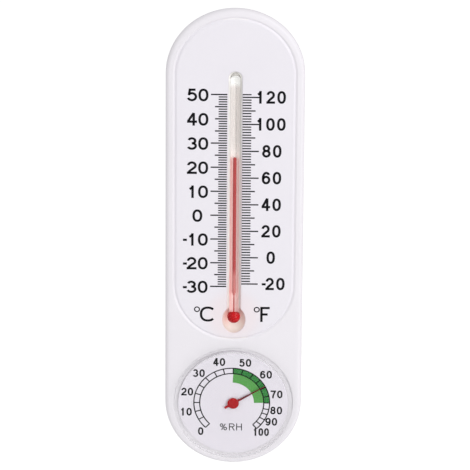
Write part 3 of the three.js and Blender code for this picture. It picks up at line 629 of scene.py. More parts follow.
def surface_grain():
    """Group: a colour and a roughness that change in patches, and the fine relief of a surface"""
    name = "Surface grain"
    if name in bpy.data.node_groups:
        return bpy.data.node_groups[name]
    group = bpy.data.node_groups.new(name, "ShaderNodeTree")
    number_kind, colour_kind, vector_kind = "NodeSocketFloat", "NodeSocketColor", "NodeSocketVector"
    inputs = (("Colour", colour_kind, (1, 1, 1, 1)), ("Patch Change", number_kind, 0.03),
              ("Patch Scale", number_kind, 60), ("Roughness", number_kind, 0.4),
              ("Roughness Change", number_kind, 0.05), ("Grain Scale", number_kind, 3000),
              ("Relief", number_kind, 0.1), ("Stretch", vector_kind, (1, 1, 1)))
    for title, kind, default in inputs:
        group.interface.new_socket(name=title, in_out="INPUT", socket_type=kind).default_value = default
    for title, kind in (("Colour", colour_kind), ("Roughness", number_kind), ("Normal", vector_kind)):
        group.interface.new_socket(name=title, in_out="OUTPUT", socket_type=kind)
    given = group.nodes.new("NodeGroupInput").outputs
    place = group.nodes.new("ShaderNodeTexCoord").outputs["Object"]
    stretched = wired(group, "ShaderNodeVectorMath", {0: place, 1: given["Stretch"]}, operation="MULTIPLY")
    patches = wired(group, "ShaderNodeTexNoise", {
        "Vector": place, "Scale": given["Patch Scale"], "Detail": 4}).outputs["Fac"]
    grain = wired(group, "ShaderNodeTexNoise", {
        "Vector": stretched.outputs[0], "Scale": given["Grain Scale"], "Detail": 3}).outputs["Fac"]

    def swing(source, change):
        """A factor that swings about 1 by the given share"""
        return reckoned(group, "MULTIPLY_ADD", reckoned(group, "SUBTRACT", source, 0.5), given[change], 1)

    tone = wired(group, "ShaderNodeVectorMath", {
        0: given["Colour"], "Scale": swing(patches, "Patch Change")}, operation="SCALE")
    gloss = reckoned(group, "MULTIPLY", given["Roughness"], swing(grain, "Roughness Change"))
    relief = wired(group, "ShaderNodeBump", {
        "Distance": 0.02 * MM, "Height": grain, "Strength": given["Relief"]})
    wired(group, "NodeGroupOutput", {
        "Colour": tone.outputs[0], "Roughness": gloss, "Normal": relief.outputs["Normal"]})
    return group


def finish(name, tint, shader_values, **grain_values):
    """A material: a Principled shader with the surface grain's colour, roughness and relief"""
    if name in bpy.data.materials:
        return bpy.data.materials[name]
    look = bpy.data.materials.new(name)
    look.use_nodes = True
    tree = look.node_tree
    shader = tree.nodes["Principled BSDF"].inputs
    for title, value in shader_values.items():
        shader[title].default_value = value
    values = {title.replace("_", " ").title(): value for title, value in grain_values.items()}
    grain = wired(tree, "ShaderNodeGroup", {"Colour": (*tint, 1), **values}, node_tree=surface_grain())
    for title, taken in (("Base Color", "Colour"), ("Roughness", "Roughness"), ("Normal", "Normal")):
        tree.links.new(grain.outputs[taken], shader[title])
    return look


def tinged(look, tint, slopes, share=1):
    """Mixes a tint into a material where all the slopes allow it. A slope names an axis and the
    places along it at which the tint starts and is full. X counts the same to either side, and
    axis R is the distance from the point that follows."""
    tree = look.node_tree
    shaded = tree.nodes["Principled BSDF"].inputs["Base Color"]
    under = shaded.links[0].from_socket
    place = tree.nodes.new("ShaderNodeTexCoord").outputs["Object"]
    parts = wired(tree, "ShaderNodeSeparateXYZ", {0: place}).outputs
    mask = None
    for axis, start, full, *point in slopes:
        if axis == "R":
            along = distance(tree, place, point)
        else:
            along = reckoned(tree, "ABSOLUTE", parts["X"]) if axis == "X" else parts[axis]
        slope = wired(tree, "ShaderNodeMapRange", {
            "Value": along, "From Min": start, "From Max": full, "To Max": share if mask is None else 1,
        }, interpolation_type="SMOOTHSTEP").outputs["Result"]
        mask = slope if mask is None else reckoned(tree, "MULTIPLY", mask, slope)
    mix = wired(tree, "ShaderNodeMix", {"Factor": mask, "A": under, "B": (*tint, 1)}, data_type="RGBA")
    tree.links.new(mix.outputs["Result"], shaded)
    return look


def shadow_lit(look, tint):
    """Lets light through to what a material shades, tinted at each of its walls"""
    tree = look.node_tree
    light = tree.nodes.new("ShaderNodeLightPath").outputs
    through = wired(tree, "ShaderNodeBsdfTransparent", {"Color": tint}).outputs["BSDF"]
    mix = wired(tree, "ShaderNodeMixShader", {
        "Fac": light["Is Shadow Ray"], 1: tree.nodes["Principled BSDF"].outputs["BSDF"], 2: through})
    tree.links.new(mix.outputs["Shader"], tree.nodes["Material Output"].inputs["Surface"])
    return look


def tints():
    """The colours that a user can change"""
    return bpy.context.scene.instrument_finishes


def body_plastic():
    """Satin white plastic of the case and of the hygrometer's cup"""
    return finish("Body plastic", tints().body, {"IOR": 1.46}, roughness=0.42, patch_change=0.03,
                  patch_scale=40, grain_scale=2500, relief=0.12)


def plate_plastic():
    """White plastic, warm in the dish, with painted light: paler in the trough and pink round the bulb"""
    look = finish("Plate plastic", tints().plate, {"IOR": 1.46}, roughness=0.36, patch_change=0.025,
                  patch_scale=50, grain_scale=3000, relief=0.06)
    sunk, dish = ("Y", -FACE + 0.1 * MM, -FACE + 0.9 * MM), BULB_CENTRE + 5 * MM
    bulb = (0, -FACE, BULB_CENTRE)
    # Painted red glow of the spirit, faint pink round the dish
    tinged(look, tints().blush, [("R", 16 * MM, 8 * MM, *bulb)], 0.5)
    # Painted light: the trough is paler, against the shade of its walls and of the tube
    tinged(look, tints().trough, [sunk, ("X", 6 * MM, 5.5 * MM)])
    tinged(look, tints().dish, [sunk, ("X", 7 * MM, 6.5 * MM), ("Z", dish, dish - 3 * MM)])
    # Painted red glow of the spirit in the dish round the bulb
    return tinged(look, PAINTED_RED_GLOW, [("R", 5.2 * MM, 3.6 * MM, *bulb)], 0.8)


def dial_enamel():
    """Satin white enamel"""
    return finish("Dial enamel", tints().dial, {"IOR": 1.45}, roughness=0.5, patch_change=0.02,
                  patch_scale=80, grain_scale=4000, relief=0.1)


def ink():
    """Dull black ink"""
    return finish("Printing ink", tints().ink, {"IOR": 1.45, "Specular IOR Level": 0.15}, roughness=0.6,
                  patch_change=0.3, patch_scale=900, grain_scale=5000, relief=0.1)


def steel():
    """Plated steel, drawn along the body"""
    return finish("Plated steel", tints().steel, {"Metallic": 1}, roughness=0.34, roughness_change=0.5,
                  patch_change=0.1, patch_scale=400, grain_scale=900, relief=0.1, stretch=(1, 1, 8))


def brass():
    """Turned brass, with painted shade below the end of the calibrating bush, so that its slot shows"""
    look = finish("Turned brass", tints().brass, {"Metallic": 1}, roughness=0.3, roughness_change=0.5,
                  patch_change=0.15, patch_scale=300, grain_scale=700, relief=0.1, stretch=(1, 6, 1))
    back = BUSH_END - 0.2 * MM
    # Painted shade that darkens the bush's slot
    return tinged(look, PAINTED_SHADE_BRASS, [("Y", back, back - 0.25 * MM)], 0.75)


def coil_strip():
    """Metal strip with the layer that takes up moisture"""
    return finish("Coil strip", tints().strip, {"Metallic": 0.7}, roughness=0.45, roughness_change=0.5,
                  patch_change=0.2, patch_scale=500, grain_scale=800, relief=0.1, stretch=(1, 8, 1))


def cement():
    """Cured cement, a little clear"""
    return finish("Cement", tints().cement, {"IOR": 1.5, "Subsurface Weight": 0.1}, roughness=0.45,
                  patch_change=0.2, patch_scale=700, grain_scale=2500, relief=0.3)


def clear_glass():
    """Clear glass, with the spirit's red light painted on it as a pink towards its bulb"""
    look = finish("Clear glass", (0.99, 0.985, 0.98), {"Transmission Weight": 1, "IOR": 1.3},
                  roughness=0.03, patch_change=0.01, grain_scale=300, relief=0)
    shadow_lit(look, (0.99, 0.99, 0.99, 1))
    # Painted red light of the spirit: the glass turns pink towards the bulb
    return tinged(look, PAINTED_RED_LIGHT_GLASS, [("Z", BULB_CENTRE + 26 * MM, BULB_CENTRE + 6 * MM)])


def opal():
    """Opal glass, grey above the spirit, with painted light: pale beside the spirit, a highlight at the
    tip, and pink where it is always behind spirit
    """
    # Its own colour is painted light, pale where the column and the trough shade it
    look = finish("Opal backing", tints().opal, {"IOR": 1.5, "Specular IOR Level": 0.2}, roughness=0.5,
                  patch_change=0.04, patch_scale=250, grain_scale=2500, relief=0)
    tinged(look, GREY_OPAL, [("Z", THREAD_HIGH.z + 1 * MM, THREAD_HIGH.z + 9 * MM)])
    # Painted highlight: the opal turns white at the tube's tip
    tinged(look, PAINTED_HIGHLIGHT_OPAL, [("Z", TUBE_TIP - 7.6 * MM, TUBE_TIP - 5.2 * MM)])
    # Painted red light of the spirit: pink where the opal is always behind spirit
    return tinged(look, PAINTED_RED_LIGHT_OPAL, [("Z", BULB_CENTRE + 28 * MM, BULB_CENTRE + 16 * MM)])


def clear_plastic():
    """Clear plastic of the cap, whose wall lets a little less light through than its window"""
    look = finish("Clear plastic", (0.985, 0.985, 0.985), {"Transmission Weight": 1, "IOR": 1.16},
                  roughness=0.02, patch_change=0.01, grain_scale=200, relief=0)
    tree = look.node_tree
    place = tree.nodes.new("ShaderNodeTexCoord").outputs["Object"]
    wall = wired(tree, "ShaderNodeMapRange", {
        "Value": distance(tree, place, (0, -FACE, LOWER_END)), "From Min": CAP_RADIUS - 2.5 * MM,
        "From Max": CAP_RADIUS - 1 * MM, "To Min": 0.96, "To Max": 0.92})
    return shadow_lit(look, wall.outputs["Result"])


def red_spirit():
    """Spirit in the bulb, paler in the thin bore above it"""
    look = finish("Red spirit", tints().spirit, {"IOR": 1.36, "Specular IOR Level": 0.1}, roughness=0.35,
                  patch_change=1, patch_scale=280, grain_scale=1500, relief=0)
    tinged(look, tints().column, [("Z", BULB_CENTRE + 2.4 * MM, BULB_CENTRE + 5 * MM)])
    tinged(look, PALE_SPIRIT, [("Z", THREAD_LOW.z - 4 * MM, THREAD_LOW.z - 1.5 * MM)])
    return shadow_lit(look, (0.98, 0.5, 0.47, 1))


def column_spirit():
    """Spirit in the bore, palest at its foot"""
    look = finish("Spirit column", tints().column, {"IOR": 1.36, "Specular IOR Level": 0.1},
                  roughness=0.35, patch_change=0.06, patch_scale=200, grain_scale=1500, relief=0)
    tinged(look, PALE_SPIRIT, [("Z", THREAD_LOW.z + 13 * MM, THREAD_LOW.z + 7 * MM)])
    return shadow_lit(look, (0.98, 0.6, 0.57, 1))


def red_enamel():
    """Red enamel of the pointer, darker towards the needle's tip"""
    look = finish("Red enamel", tints().enamel, {"IOR": 1.3}, roughness=0.35, patch_change=0.1,
                  patch_scale=500, grain_scale=3000, relief=0.1)
    return tinged(look, DARK_ENAMEL, [("R", 3 * MM, 7 * MM, -1.5 * MM, -HUB_FRONT, LOWER_END)])


# Sizes and forms that more than one piece takes


def parting_height(sizes):
    """Height of the line where face and housing part"""
    return FACE - sizes.crown_fall - sizes.edge_round - sizes.rim


def housing_radius(sizes, height):
    """Outer radius of the housing, which narrows evenly towards the wall"""
    top = parting_height(sizes) - sizes.seat_gap
    return HOUSING_RADIUS - sizes.lean * (top - height) / top


def groove_flank(sizes):
    """Width of a flank of the groove, and the setback and the angle of the lip that rounds it off"""
    flank = (sizes.groove_width - sizes.plate_gap) / 2
    lean = math.atan2(sizes.groove_depth, flank)
    return flank, sizes.lip * math.tan(lean / 2), math.degrees(lean)


def trough_arch(sizes):
    """Where the middle of the trough's round upper end lies along the body"""
    return TUBE_TIP + sizes.trough_end_gap - sizes.trough_half_width


def dish_centre(sizes):
    """Where the dish's middle lies along the body"""
    return BULB_CENTRE - sizes.dish_drop


def dish_scaled(piece, sizes):
    """Makes a round form about the dish as tall as the dish is"""
    with editing(piece):
        bpy.ops.mesh.select_all(action="SELECT")
        bpy.ops.transform.resize(value=(1, 1, sizes.dish_half_height / sizes.dish_half_width),
                                 center_override=(0, 0, dish_centre(sizes)))
    return piece


def screw_places():
    """Where the four cover screws stand, across and along the body"""
    boxes = [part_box(f"cover_screw_{i}") for i in range(1, 5)]
    return [((low.x + high.x) / 2, (low.z + high.z) / 2) for low, high in boxes]


# Operators, one for each piece or group of like pieces


class FrontShell(bpy.types.Operator):
    """Models the moulded face with its groove, its dial seat, bosses and ribs"""

    bl_idname = "instrument.front_shell"
    bl_label = "Front shell"

    RING_WALL, RING_HEIGHT = 2.5 * MM, 1.5 * MM
    # Radius and lowest height of a screw boss, radius and highest height of the bore in it
    BOSS, BOSS_FOOT = 3.5 * MM, 4.15 * MM
    BORE, BORE_END = 1.45 * MM, 10.85 * MM
    # Room between trough and ribs, and between ribs and the body's edge
    RIB_SPACE, RIB_EDGE, RIB_ROWS = 1.7 * MM, 11 * MM, 5
    RIB_DROP = 1.5 * MM
    # Angles at which the rounded lips of recess and dial seat start, a little past level
    RECESS_LIP, SEAT_LIP = 98, 100

    def execute(self, context):
        sizes = context.scene.instrument_body
        parting, places = parting_height(sizes), screw_places()
        flank, setback, lean = groove_flank(sizes)
        edge = PLATE_RADIUS + sizes.plate_gap + flank
        floor = FACE - sizes.plate_thickness
        shell = loft("front_shell_moulding", [
            (HALF_WIDTH, parting),
            (HALF_WIDTH, parting + sizes.rim),
            *rounding(HALF_WIDTH - sizes.edge_round, parting + sizes.rim, sizes.edge_round, *EDGE_TURNS),
            (edge, FACE),
        ], UPPER_END, LOWER_END)
        ring = drum("seat_ring", sizes.cup_hole + self.RING_WALL, parting - self.RING_HEIGHT, parting + MM,
                    z=LOWER_END)
        bosses = [drum("boss", self.BOSS, self.BOSS_FOOT, parting + MM, x, z) for x, z in places]
        recess = loft("recess", [
            (edge + PLAY, FACE + MM),
            (edge + PLAY, FACE + HAIR),
            *rounding(edge + setback, FACE - sizes.lip, sizes.lip, self.RECESS_LIP, 90 + lean),
            (PLATE_RADIUS + sizes.plate_gap, FACE - sizes.groove_depth),
            (PLATE_RADIUS + sizes.plate_gap, floor - sizes.seat_gap),
        ], UPPER_END, PLATE_FOOT)
        slot = sizes.trough_half_width + sizes.trough_skin + PLAY
        opening = loft("slot", [(slot, parting - BEYOND), (slot, floor)], trough_arch(sizes), BULB_CENTRE)
        dish = drum("dish_hole", sizes.dish_half_width + sizes.trough_skin + PLAY, parting - BEYOND, floor,
                    z=dish_centre(sizes))
        seat = CAP_RADIUS + sizes.dial_gap
        dial_seat = loft("dial_seat", [
            (seat + sizes.lip, FACE + MM),
            (seat + sizes.lip, FACE + HAIR),
            *rounding(seat + sizes.lip, FACE - sizes.lip, sizes.lip, self.SEAT_LIP, 180),
            (seat, FACE - sizes.seat_depth),
        ], LOWER_END, LOWER_END)
        hole = drum("cup_hole", sizes.cup_hole, parting - BEYOND, FACE, z=LOWER_END, steps=2 * ARC_STEPS)
        bores = [drum("bore", self.BORE, POST_TOP, self.BORE_END, x, z) for x, z in places]
        worked(shell, "UNION", ring, *bosses, *self.ribs(sizes, parting))
        worked(shell, "DIFFERENCE", recess, self.channel(sizes, parting), opening)
        worked(shell, "DIFFERENCE", dish_scaled(dish, sizes), dial_seat, hole, *bores)
        dressed(softened(shell), "body", "white_plastic", body_plastic(), "front_shell")
        return {"FINISHED"}

    @staticmethod
    def channel(sizes, parting):
        """The channel behind the face that takes the housing's tongue"""
        behind = HOUSING_RADIUS - sizes.wall + sizes.tongue
        outer, inner = behind + PLAY, behind - MM
        channel = loft("channel", [(outer, parting - MM), (outer, parting + MM)], UPPER_END, LOWER_END)
        core = loft("core", [(inner, parting - 2 * MM), (inner, parting + 2 * MM)], UPPER_END, LOWER_END)
        return worked(channel, "DIFFERENCE", core)

    def ribs(self, sizes, parting):
        """Ribs behind the face, along the trough and out from it"""
        edge = sizes.trough_half_width + sizes.trough_skin + self.RIB_SPACE
        top = trough_arch(sizes) - self.RIB_DROP
        bottom = dish_centre(sizes) + sizes.dish_half_height + sizes.trough_skin
        low, high = parting - sizes.rib_height, parting + MM
        reach = HALF_WIDTH - self.RIB_EDGE - edge
        ribs = []
        for side in (-1, 1):
            ribs.append(block("rib", sizes.rib, top - bottom, low, high, side * (edge + sizes.rib / 2),
                              (top + bottom) / 2))
            for i in range(1, self.RIB_ROWS):
                ribs.append(block("rib", reach, sizes.rib, low, high, side * (edge + reach / 2),
                                  top + (bottom - top) * i / self.RIB_ROWS))
        return ribs


class ScalePlate(bpy.types.Operator):
    """Models the scale plate with the trough for the tube and the dish for the bulb"""

    bl_idname = "instrument.scale_plate"
    bl_label = "Scale plate"

    # How deep in the plate the backs of trough and dish begin
    SUNK = 0.5 * MM

    def execute(self, context):
        sizes = context.scene.instrument_body
        flank, setback, lean = groove_flank(sizes)
        plate = loft("scale_plate_moulding", [
            (PLATE_RADIUS, FACE - sizes.plate_thickness),
            (PLATE_RADIUS, FACE - sizes.groove_depth),
            *rounding(PLATE_RADIUS - flank - setback, FACE - sizes.lip, sizes.lip, 90 - lean, 90),
        ], UPPER_END, PLATE_FOOT)
        long, round_about = (trough_arch(sizes), BULB_CENTRE), (dish_centre(sizes), dish_centre(sizes))
        skin, under = sizes.trough_skin, sizes.trough_skin - self.SUNK
        trough_back = bowl(sizes.trough_half_width + skin, sizes.trough_depth + under, FACE - self.SUNK)
        dish_back = bowl(sizes.dish_half_width + skin, sizes.dish_depth + under, FACE - self.SUNK)
        trough = valley(sizes.trough_half_width, sizes.trough_depth, FACE, sizes.lip)
        dish = bowl(sizes.dish_half_width, sizes.dish_depth, FACE, sizes.lip)
        worked(plate, "UNION", loft("trough_back", trough_back, *long),
               dish_scaled(loft("dish_back", dish_back, *round_about), sizes))
        worked(plate, "DIFFERENCE", loft("trough", trough, *long),
               dish_scaled(loft("dish", dish, *round_about), sizes))
        dressed(softened(plate), "body", "plate_plastic", plate_plastic(), "scale_plate")
        return {"FINISHED"}


class ScaleMarks(bpy.types.Operator):
    """Prints the lines, numbers and unit marks beside the tube"""

    bl_idname = "instrument.scale_marks"
    bl_label = "Scale marks"

    # How far the longest, middle and short lines reach from the tube's axis
    CELSIUS_ENDS = (11.15 * MM, 9.25 * MM, 7.6 * MM)
    FAHRENHEIT_ENDS = (11.05 * MM, 9.35 * MM, 7.45 * MM)
    # Width of a digit and distance from one to the next
    CELSIUS_DIGITS = (4.6 * MM, 5.2 * MM)
    FAHRENHEIT_DIGITS = (3.95 * MM, 5.0 * MM)
    BELOW_ZERO_OUTWARD, HUNDREDS_INWARD = 2.15 * MM, 0.75 * MM
    # Each unit letter with its middle and its width
    UNIT_LETTERS = (("C", -12.1 * MM, 7.5 * MM), ("F", 14.6 * MM, 4.4 * MM))
    # Where the small ring before each letter has its middle
    UNIT_RINGS = (-17.2 * MM, 10.75 * MM)

    def execute(self, context):
        prints = self.prints = context.scene.instrument_prints
        short, long = self.celsius_lines()
        more_short, more_long = self.fahrenheit_lines()
        for name, strokes, pen in (
            ("degree_lines", short + more_short, prints.line),
            ("numbered_lines", long + more_long, prints.long_line),
            ("celsius_numbers", self.celsius_numbers(), prints.digit_pen),
            ("fahrenheit_numbers", self.fahrenheit_numbers(), prints.digit_pen),
            ("unit_letters", self.unit_letters(), prints.digit_pen),
            ("unit_rings", self.unit_rings(), prints.ring_pen),
        ):
            dressed(printed(name, strokes, pen, FACE, prints.ink), "body", "plate_plastic", ink())
        return {"FINISHED"}

    def place_of(self, celsius):
        """Where a temperature lies along the body"""
        return self.prints.zero + celsius * self.prints.degree

    def place_of_fahrenheit(self, degrees):
        """Where a temperature of the right scale lies along the body"""
        return self.place_of((degrees - 32) / 1.8)

    def celsius_lines(self):
        """Lines of each degree, longer at each fifth and tenth. The one at 40 is as long as a fifth's."""
        longest, middle, least = self.CELSIUS_ENDS
        short, long = [], []
        for degree in range(-30, 51):
            tenth, fifth = degree % 10 == 0 and degree != 40, degree % 5 == 0
            end = longest if tenth else middle if fifth else least
            z = self.place_of(degree)
            (long if fifth else short).append([(-end, z), (-self.prints.left_edge, z)])
        return short, long

    def fahrenheit_lines(self):
        """Lines of each second degree, longer at each tenth and twentieth"""
        longest, middle, least = self.FAHRENHEIT_ENDS
        short, long = [], []
        for degree in range(-20, 123, 2):
            twentieth, tenth = degree % 20 == 0, degree % 10 == 0
            end = longest if twentieth else middle if tenth else least
            z = self.place_of_fahrenheit(degree)
            (long if tenth else short).append([(self.prints.right_edge, z), (end, z)])
        return short, long

    def celsius_numbers(self):
        """Numbers of each tenth degree"""
        strokes = []
        for degree in range(-30, 51, 10):
            z = self.place_of(degree) - self.prints.left_drop
            strokes += self.signed(degree, -self.prints.left_middle, z, *self.CELSIUS_DIGITS)
        return strokes

    def fahrenheit_numbers(self):
        """Numbers of each twentieth degree. Those of three digits stand further in, and the one under
        zero further out."""
        strokes = []
        for degree in range(-20, 121, 20):
            z = self.place_of_fahrenheit(degree) - self.prints.right_drop
            x = self.prints.right_middle
            if degree < 0:
                x += self.BELOW_ZERO_OUTWARD
            elif degree > 99:
                x -= self.HUNDREDS_INWARD
            strokes += self.signed(degree, x, z, *self.FAHRENHEIT_DIGITS)
        return strokes

    def signed(self, degree, x, z, width, advance):
        """Strokes of a number, with a short bar before one under zero"""
        prints, digits = self.prints, str(abs(degree))
        strokes = number(digits, x, z, width, prints.digit_height, prints.digit_pen, advance)
        if degree < 0:
            left = x - advance * (len(digits) - 1) / 2 - width / 2 - prints.minus_space
            strokes += lettered("-", left, z, prints.minus_width, prints.digit_height, prints.digit_pen)
        return strokes

    def unit_letters(self):
        """Strokes of the letters of the two scales"""
        prints, strokes = self.prints, []
        for letter, x, width in self.UNIT_LETTERS:
            strokes += lettered(letter, x, prints.unit_middle, width, prints.unit_height, prints.digit_pen)
        return strokes

    def unit_rings(self):
        """Strokes of the small ring before each letter"""
        prints, strokes = self.prints, []
        z = prints.unit_middle + (prints.unit_height - prints.unit_ring) / 2
        for x in self.UNIT_RINGS:
            strokes += lettered("o", x, z, prints.unit_ring, prints.unit_ring, prints.ring_pen)
        return strokes


class Thermometer(bpy.types.Operator):
    """Models the glass tube, the spirit in it and the cement under its bulb"""

    bl_idname = "instrument.thermometer"
    bl_label = "Thermometer"

    CENTRE, UPRIGHT = (0, -TUBE_AXIS, 0), (0, 0, 1)
    # Radius of the tube, radius of its ball and wall of the ball
    TUBE, BALL, BALL_WALL = 2.3 * MM, BULB_RADIUS + 0.28 * MM, 0.33 * MM
    # The ball is round up to this angle, and the neck that follows ends this far above its middle
    BALL_TURN, NECK_RISE = 18, 3.7 * MM
    BALL_STEPS, NECK_STEPS, TIP_STEPS = 18, 12, 12
    # How full the drop of spirit is at its middle and how it narrows
    DROP_POWER, DROP_SLIMNESS, DROP_STEPS = 1.6, 0.75, 14
    # Radius of the bore, radius of the thin stem under it, and length of the taper between them
    BORE, STEM, TAPER = 0.6 * MM, 0.2 * MM, 2 * MM
    BORE_FOOT, BORE_TOP = THREAD_LOW.z, TUBE_TIP - 4.6 * MM
    # How far spirit reaches into the glass, so that no gap shows between them
    WET = 0.01 * MM
    FILL_STEPS, SPIRIT_STEPS, THREAD_RINGS = 64, 48, 48
    # The hollow of the spirit's top, as shares of its radius with their drops
    DIP = ((0.8, 0.11 * MM), (0.5, 0.22 * MM), (0.25, 0.28 * MM), (0, 0.3 * MM))
    # Radius, thickness, half angle and steps of the opal strip behind the bore
    STRIP, STRIP_WALL, STRIP_TURN, STRIP_STEPS = 1.7 * MM, 0.2 * MM, 78, 24
    STRIP_LOW, STRIP_HIGH = BALL_MIDDLE + 1.95 * MM, TUBE_TIP - 3.2 * MM
    # Each step of the strip's domed end, with its rise and the share of its size that stays
    STRIP_DOME = ((0.6 * MM, 0.93), (0.5 * MM, 0.78), (0.35 * MM, 0.55), (0.12 * MM, 0.35))

    def execute(self, context):
        glass = turned("thermometer_tube", self.outside(), self.CENTRE, self.UPRIGHT)
        cavity = self.column(self.BALL - self.BALL_WALL, self.STEM) + [
            (self.BORE, self.BORE_FOOT), (self.BORE, self.BORE_TOP - 0.5 * MM),
            (0.7 * self.BORE, self.BORE_TOP - 0.15 * MM), (0, self.BORE_TOP)]
        worked(glass, "DIFFERENCE", turned("cavity", cavity, self.CENTRE, self.UPRIGHT, self.FILL_STEPS))
        dressed(softened(glass), "body", "glass", clear_glass(), "glass_tube")
        radius = self.BORE + self.WET
        fill = self.column(self.BALL - self.BALL_WALL + self.WET, self.STEM + self.WET)
        fill += [(radius, self.BORE_FOOT), (0, self.BORE_FOOT)]
        spirit = turned("spirit_in_bulb", fill, self.CENTRE, self.UPRIGHT, self.FILL_STEPS)
        dressed(softened(spirit), "body", "red_spirit", red_spirit(), "bulb_spirit")
        self.opal_strip()
        column_look = column_spirit()
        self.thread(radius, column_look)
        level = turned("spirit_top", [
            (0, THREAD_HIGH.z), (radius, THREAD_HIGH.z), (radius, LEVEL_TOP),
            *[(share * radius, LEVEL_TOP - drop) for share, drop in self.DIP],
        ], self.CENTRE, self.UPRIGHT, self.SPIRIT_STEPS)
        dressed(softened(level), "spirit_level", "red_spirit", column_look, "spirit_meniscus")
        dressed(refined("cement_bed", "bulb_cement", 0.25 * MM), "body", "cement", cement(), "bulb_cement")
        return {"FINISHED"}

    def outside(self):
        """Profile of the tube: a ball, a neck that eases into the stem, and a round tip"""
        points = [(self.BALL * math.cos(t), BALL_MIDDLE + self.BALL * math.sin(t))
                  for t in turns(-90, self.BALL_TURN, self.BALL_STEPS)]
        wide, low = points[-1]
        for i in range(1, self.NECK_STEPS + 1):
            share = i / self.NECK_STEPS
            ease = (1 - share) ** 2 * (1 + share)
            points.append((self.TUBE + (wide - self.TUBE) * ease,
                           low + (BALL_MIDDLE + self.NECK_RISE - low) * share))
        return points + [(self.TUBE * math.cos(t), TUBE_TIP - self.TUBE + self.TUBE * math.sin(t))
                         for t in turns(0, 90, self.TIP_STEPS)]

    def column(self, bulb, stem):
        """Profile of a drop, round below, that narrows into a thin stem"""
        points = [(bulb * math.cos(t), BALL_MIDDLE + bulb * math.sin(t))
                  for t in turns(-90, 0, self.DROP_STEPS)]
        meeting = (1 - (stem / bulb) ** (1 / self.DROP_SLIMNESS)) ** (1 / self.DROP_POWER)
        for i in range(1, self.DROP_STEPS + 1):
            share = meeting * i / self.DROP_STEPS
            points.append((bulb * (1 - share ** self.DROP_POWER) ** self.DROP_SLIMNESS,
                           BALL_MIDDLE + bulb * share))
        return points + [(stem, self.BORE_FOOT - self.TAPER)]

    def opal_strip(self):
        """The opal strip that is drawn into the glass behind the bore, domed at its top"""
        places = [Vector((self.STRIP * math.sin(t), self.STRIP * math.cos(t) - TUBE_AXIS, self.STRIP_LOW))
                  for t in turns(-self.STRIP_TURN, self.STRIP_TURN, self.STRIP_STEPS)]
        strip = added("opal_backing", bpy.ops.mesh.primitive_plane_add, size=MM, location=places[0])
        with editing(strip):
            drawn_on(places)
            bpy.ops.mesh.select_all(action="SELECT")
            bpy.ops.mesh.extrude_edges_move(
                TRANSFORM_OT_translate={"value": (0, 0, self.STRIP_HIGH - self.STRIP_LOW)})
            for rise, size in self.STRIP_DOME:
                bpy.ops.mesh.extrude_edges_move(TRANSFORM_OT_translate={"value": (0, 0, rise)})
                bpy.ops.transform.resize(value=(size, size, 1),
                                         center_override=(0, -TUBE_AXIS, self.STRIP_HIGH))
            bpy.ops.mesh.select_all(action="SELECT")
            bpy.ops.mesh.normals_make_consistent(inside=False)
        select_only(strip)
        wall = strip.modifiers.new("Wall", "SOLIDIFY")
        wall.thickness = self.STRIP_WALL
        wall.offset = 0
        bpy.ops.object.modifier_apply(modifier=wall.name)
        dressed(softened(strip), "body", "glass", opal())

    def thread(self, radius, look):
        """The spirit column, in many rings so that it can stretch"""
        foot, top, count = THREAD_LOW.z, THREAD_HIGH.z, self.THREAD_RINGS
        rings = [(radius, foot + (top - foot) * i / count) for i in range(count + 1)]
        thread = softened(turned("spirit_column", [(0, foot), *rings, (0, top)], self.CENTRE, self.UPRIGHT,
                                 self.SPIRIT_STEPS))
        thread.data.materials.clear()
        thread.data.materials.append(look)
        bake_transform(thread)
        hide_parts("spirit_thread")


def refined(name, node, width, segments=2):
    """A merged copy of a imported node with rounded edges"""
    piece = bpy.data.objects.new(name, NODES[node].data.copy())
    bpy.context.collection.objects.link(piece)
    with editing(piece):
        bpy.ops.mesh.select_all(action="SELECT")
        bpy.ops.mesh.remove_doubles(threshold=WELD)
        bpy.ops.mesh.dissolve_limited(angle_limit=math.radians(1))
    return softened(piece, width, segments)


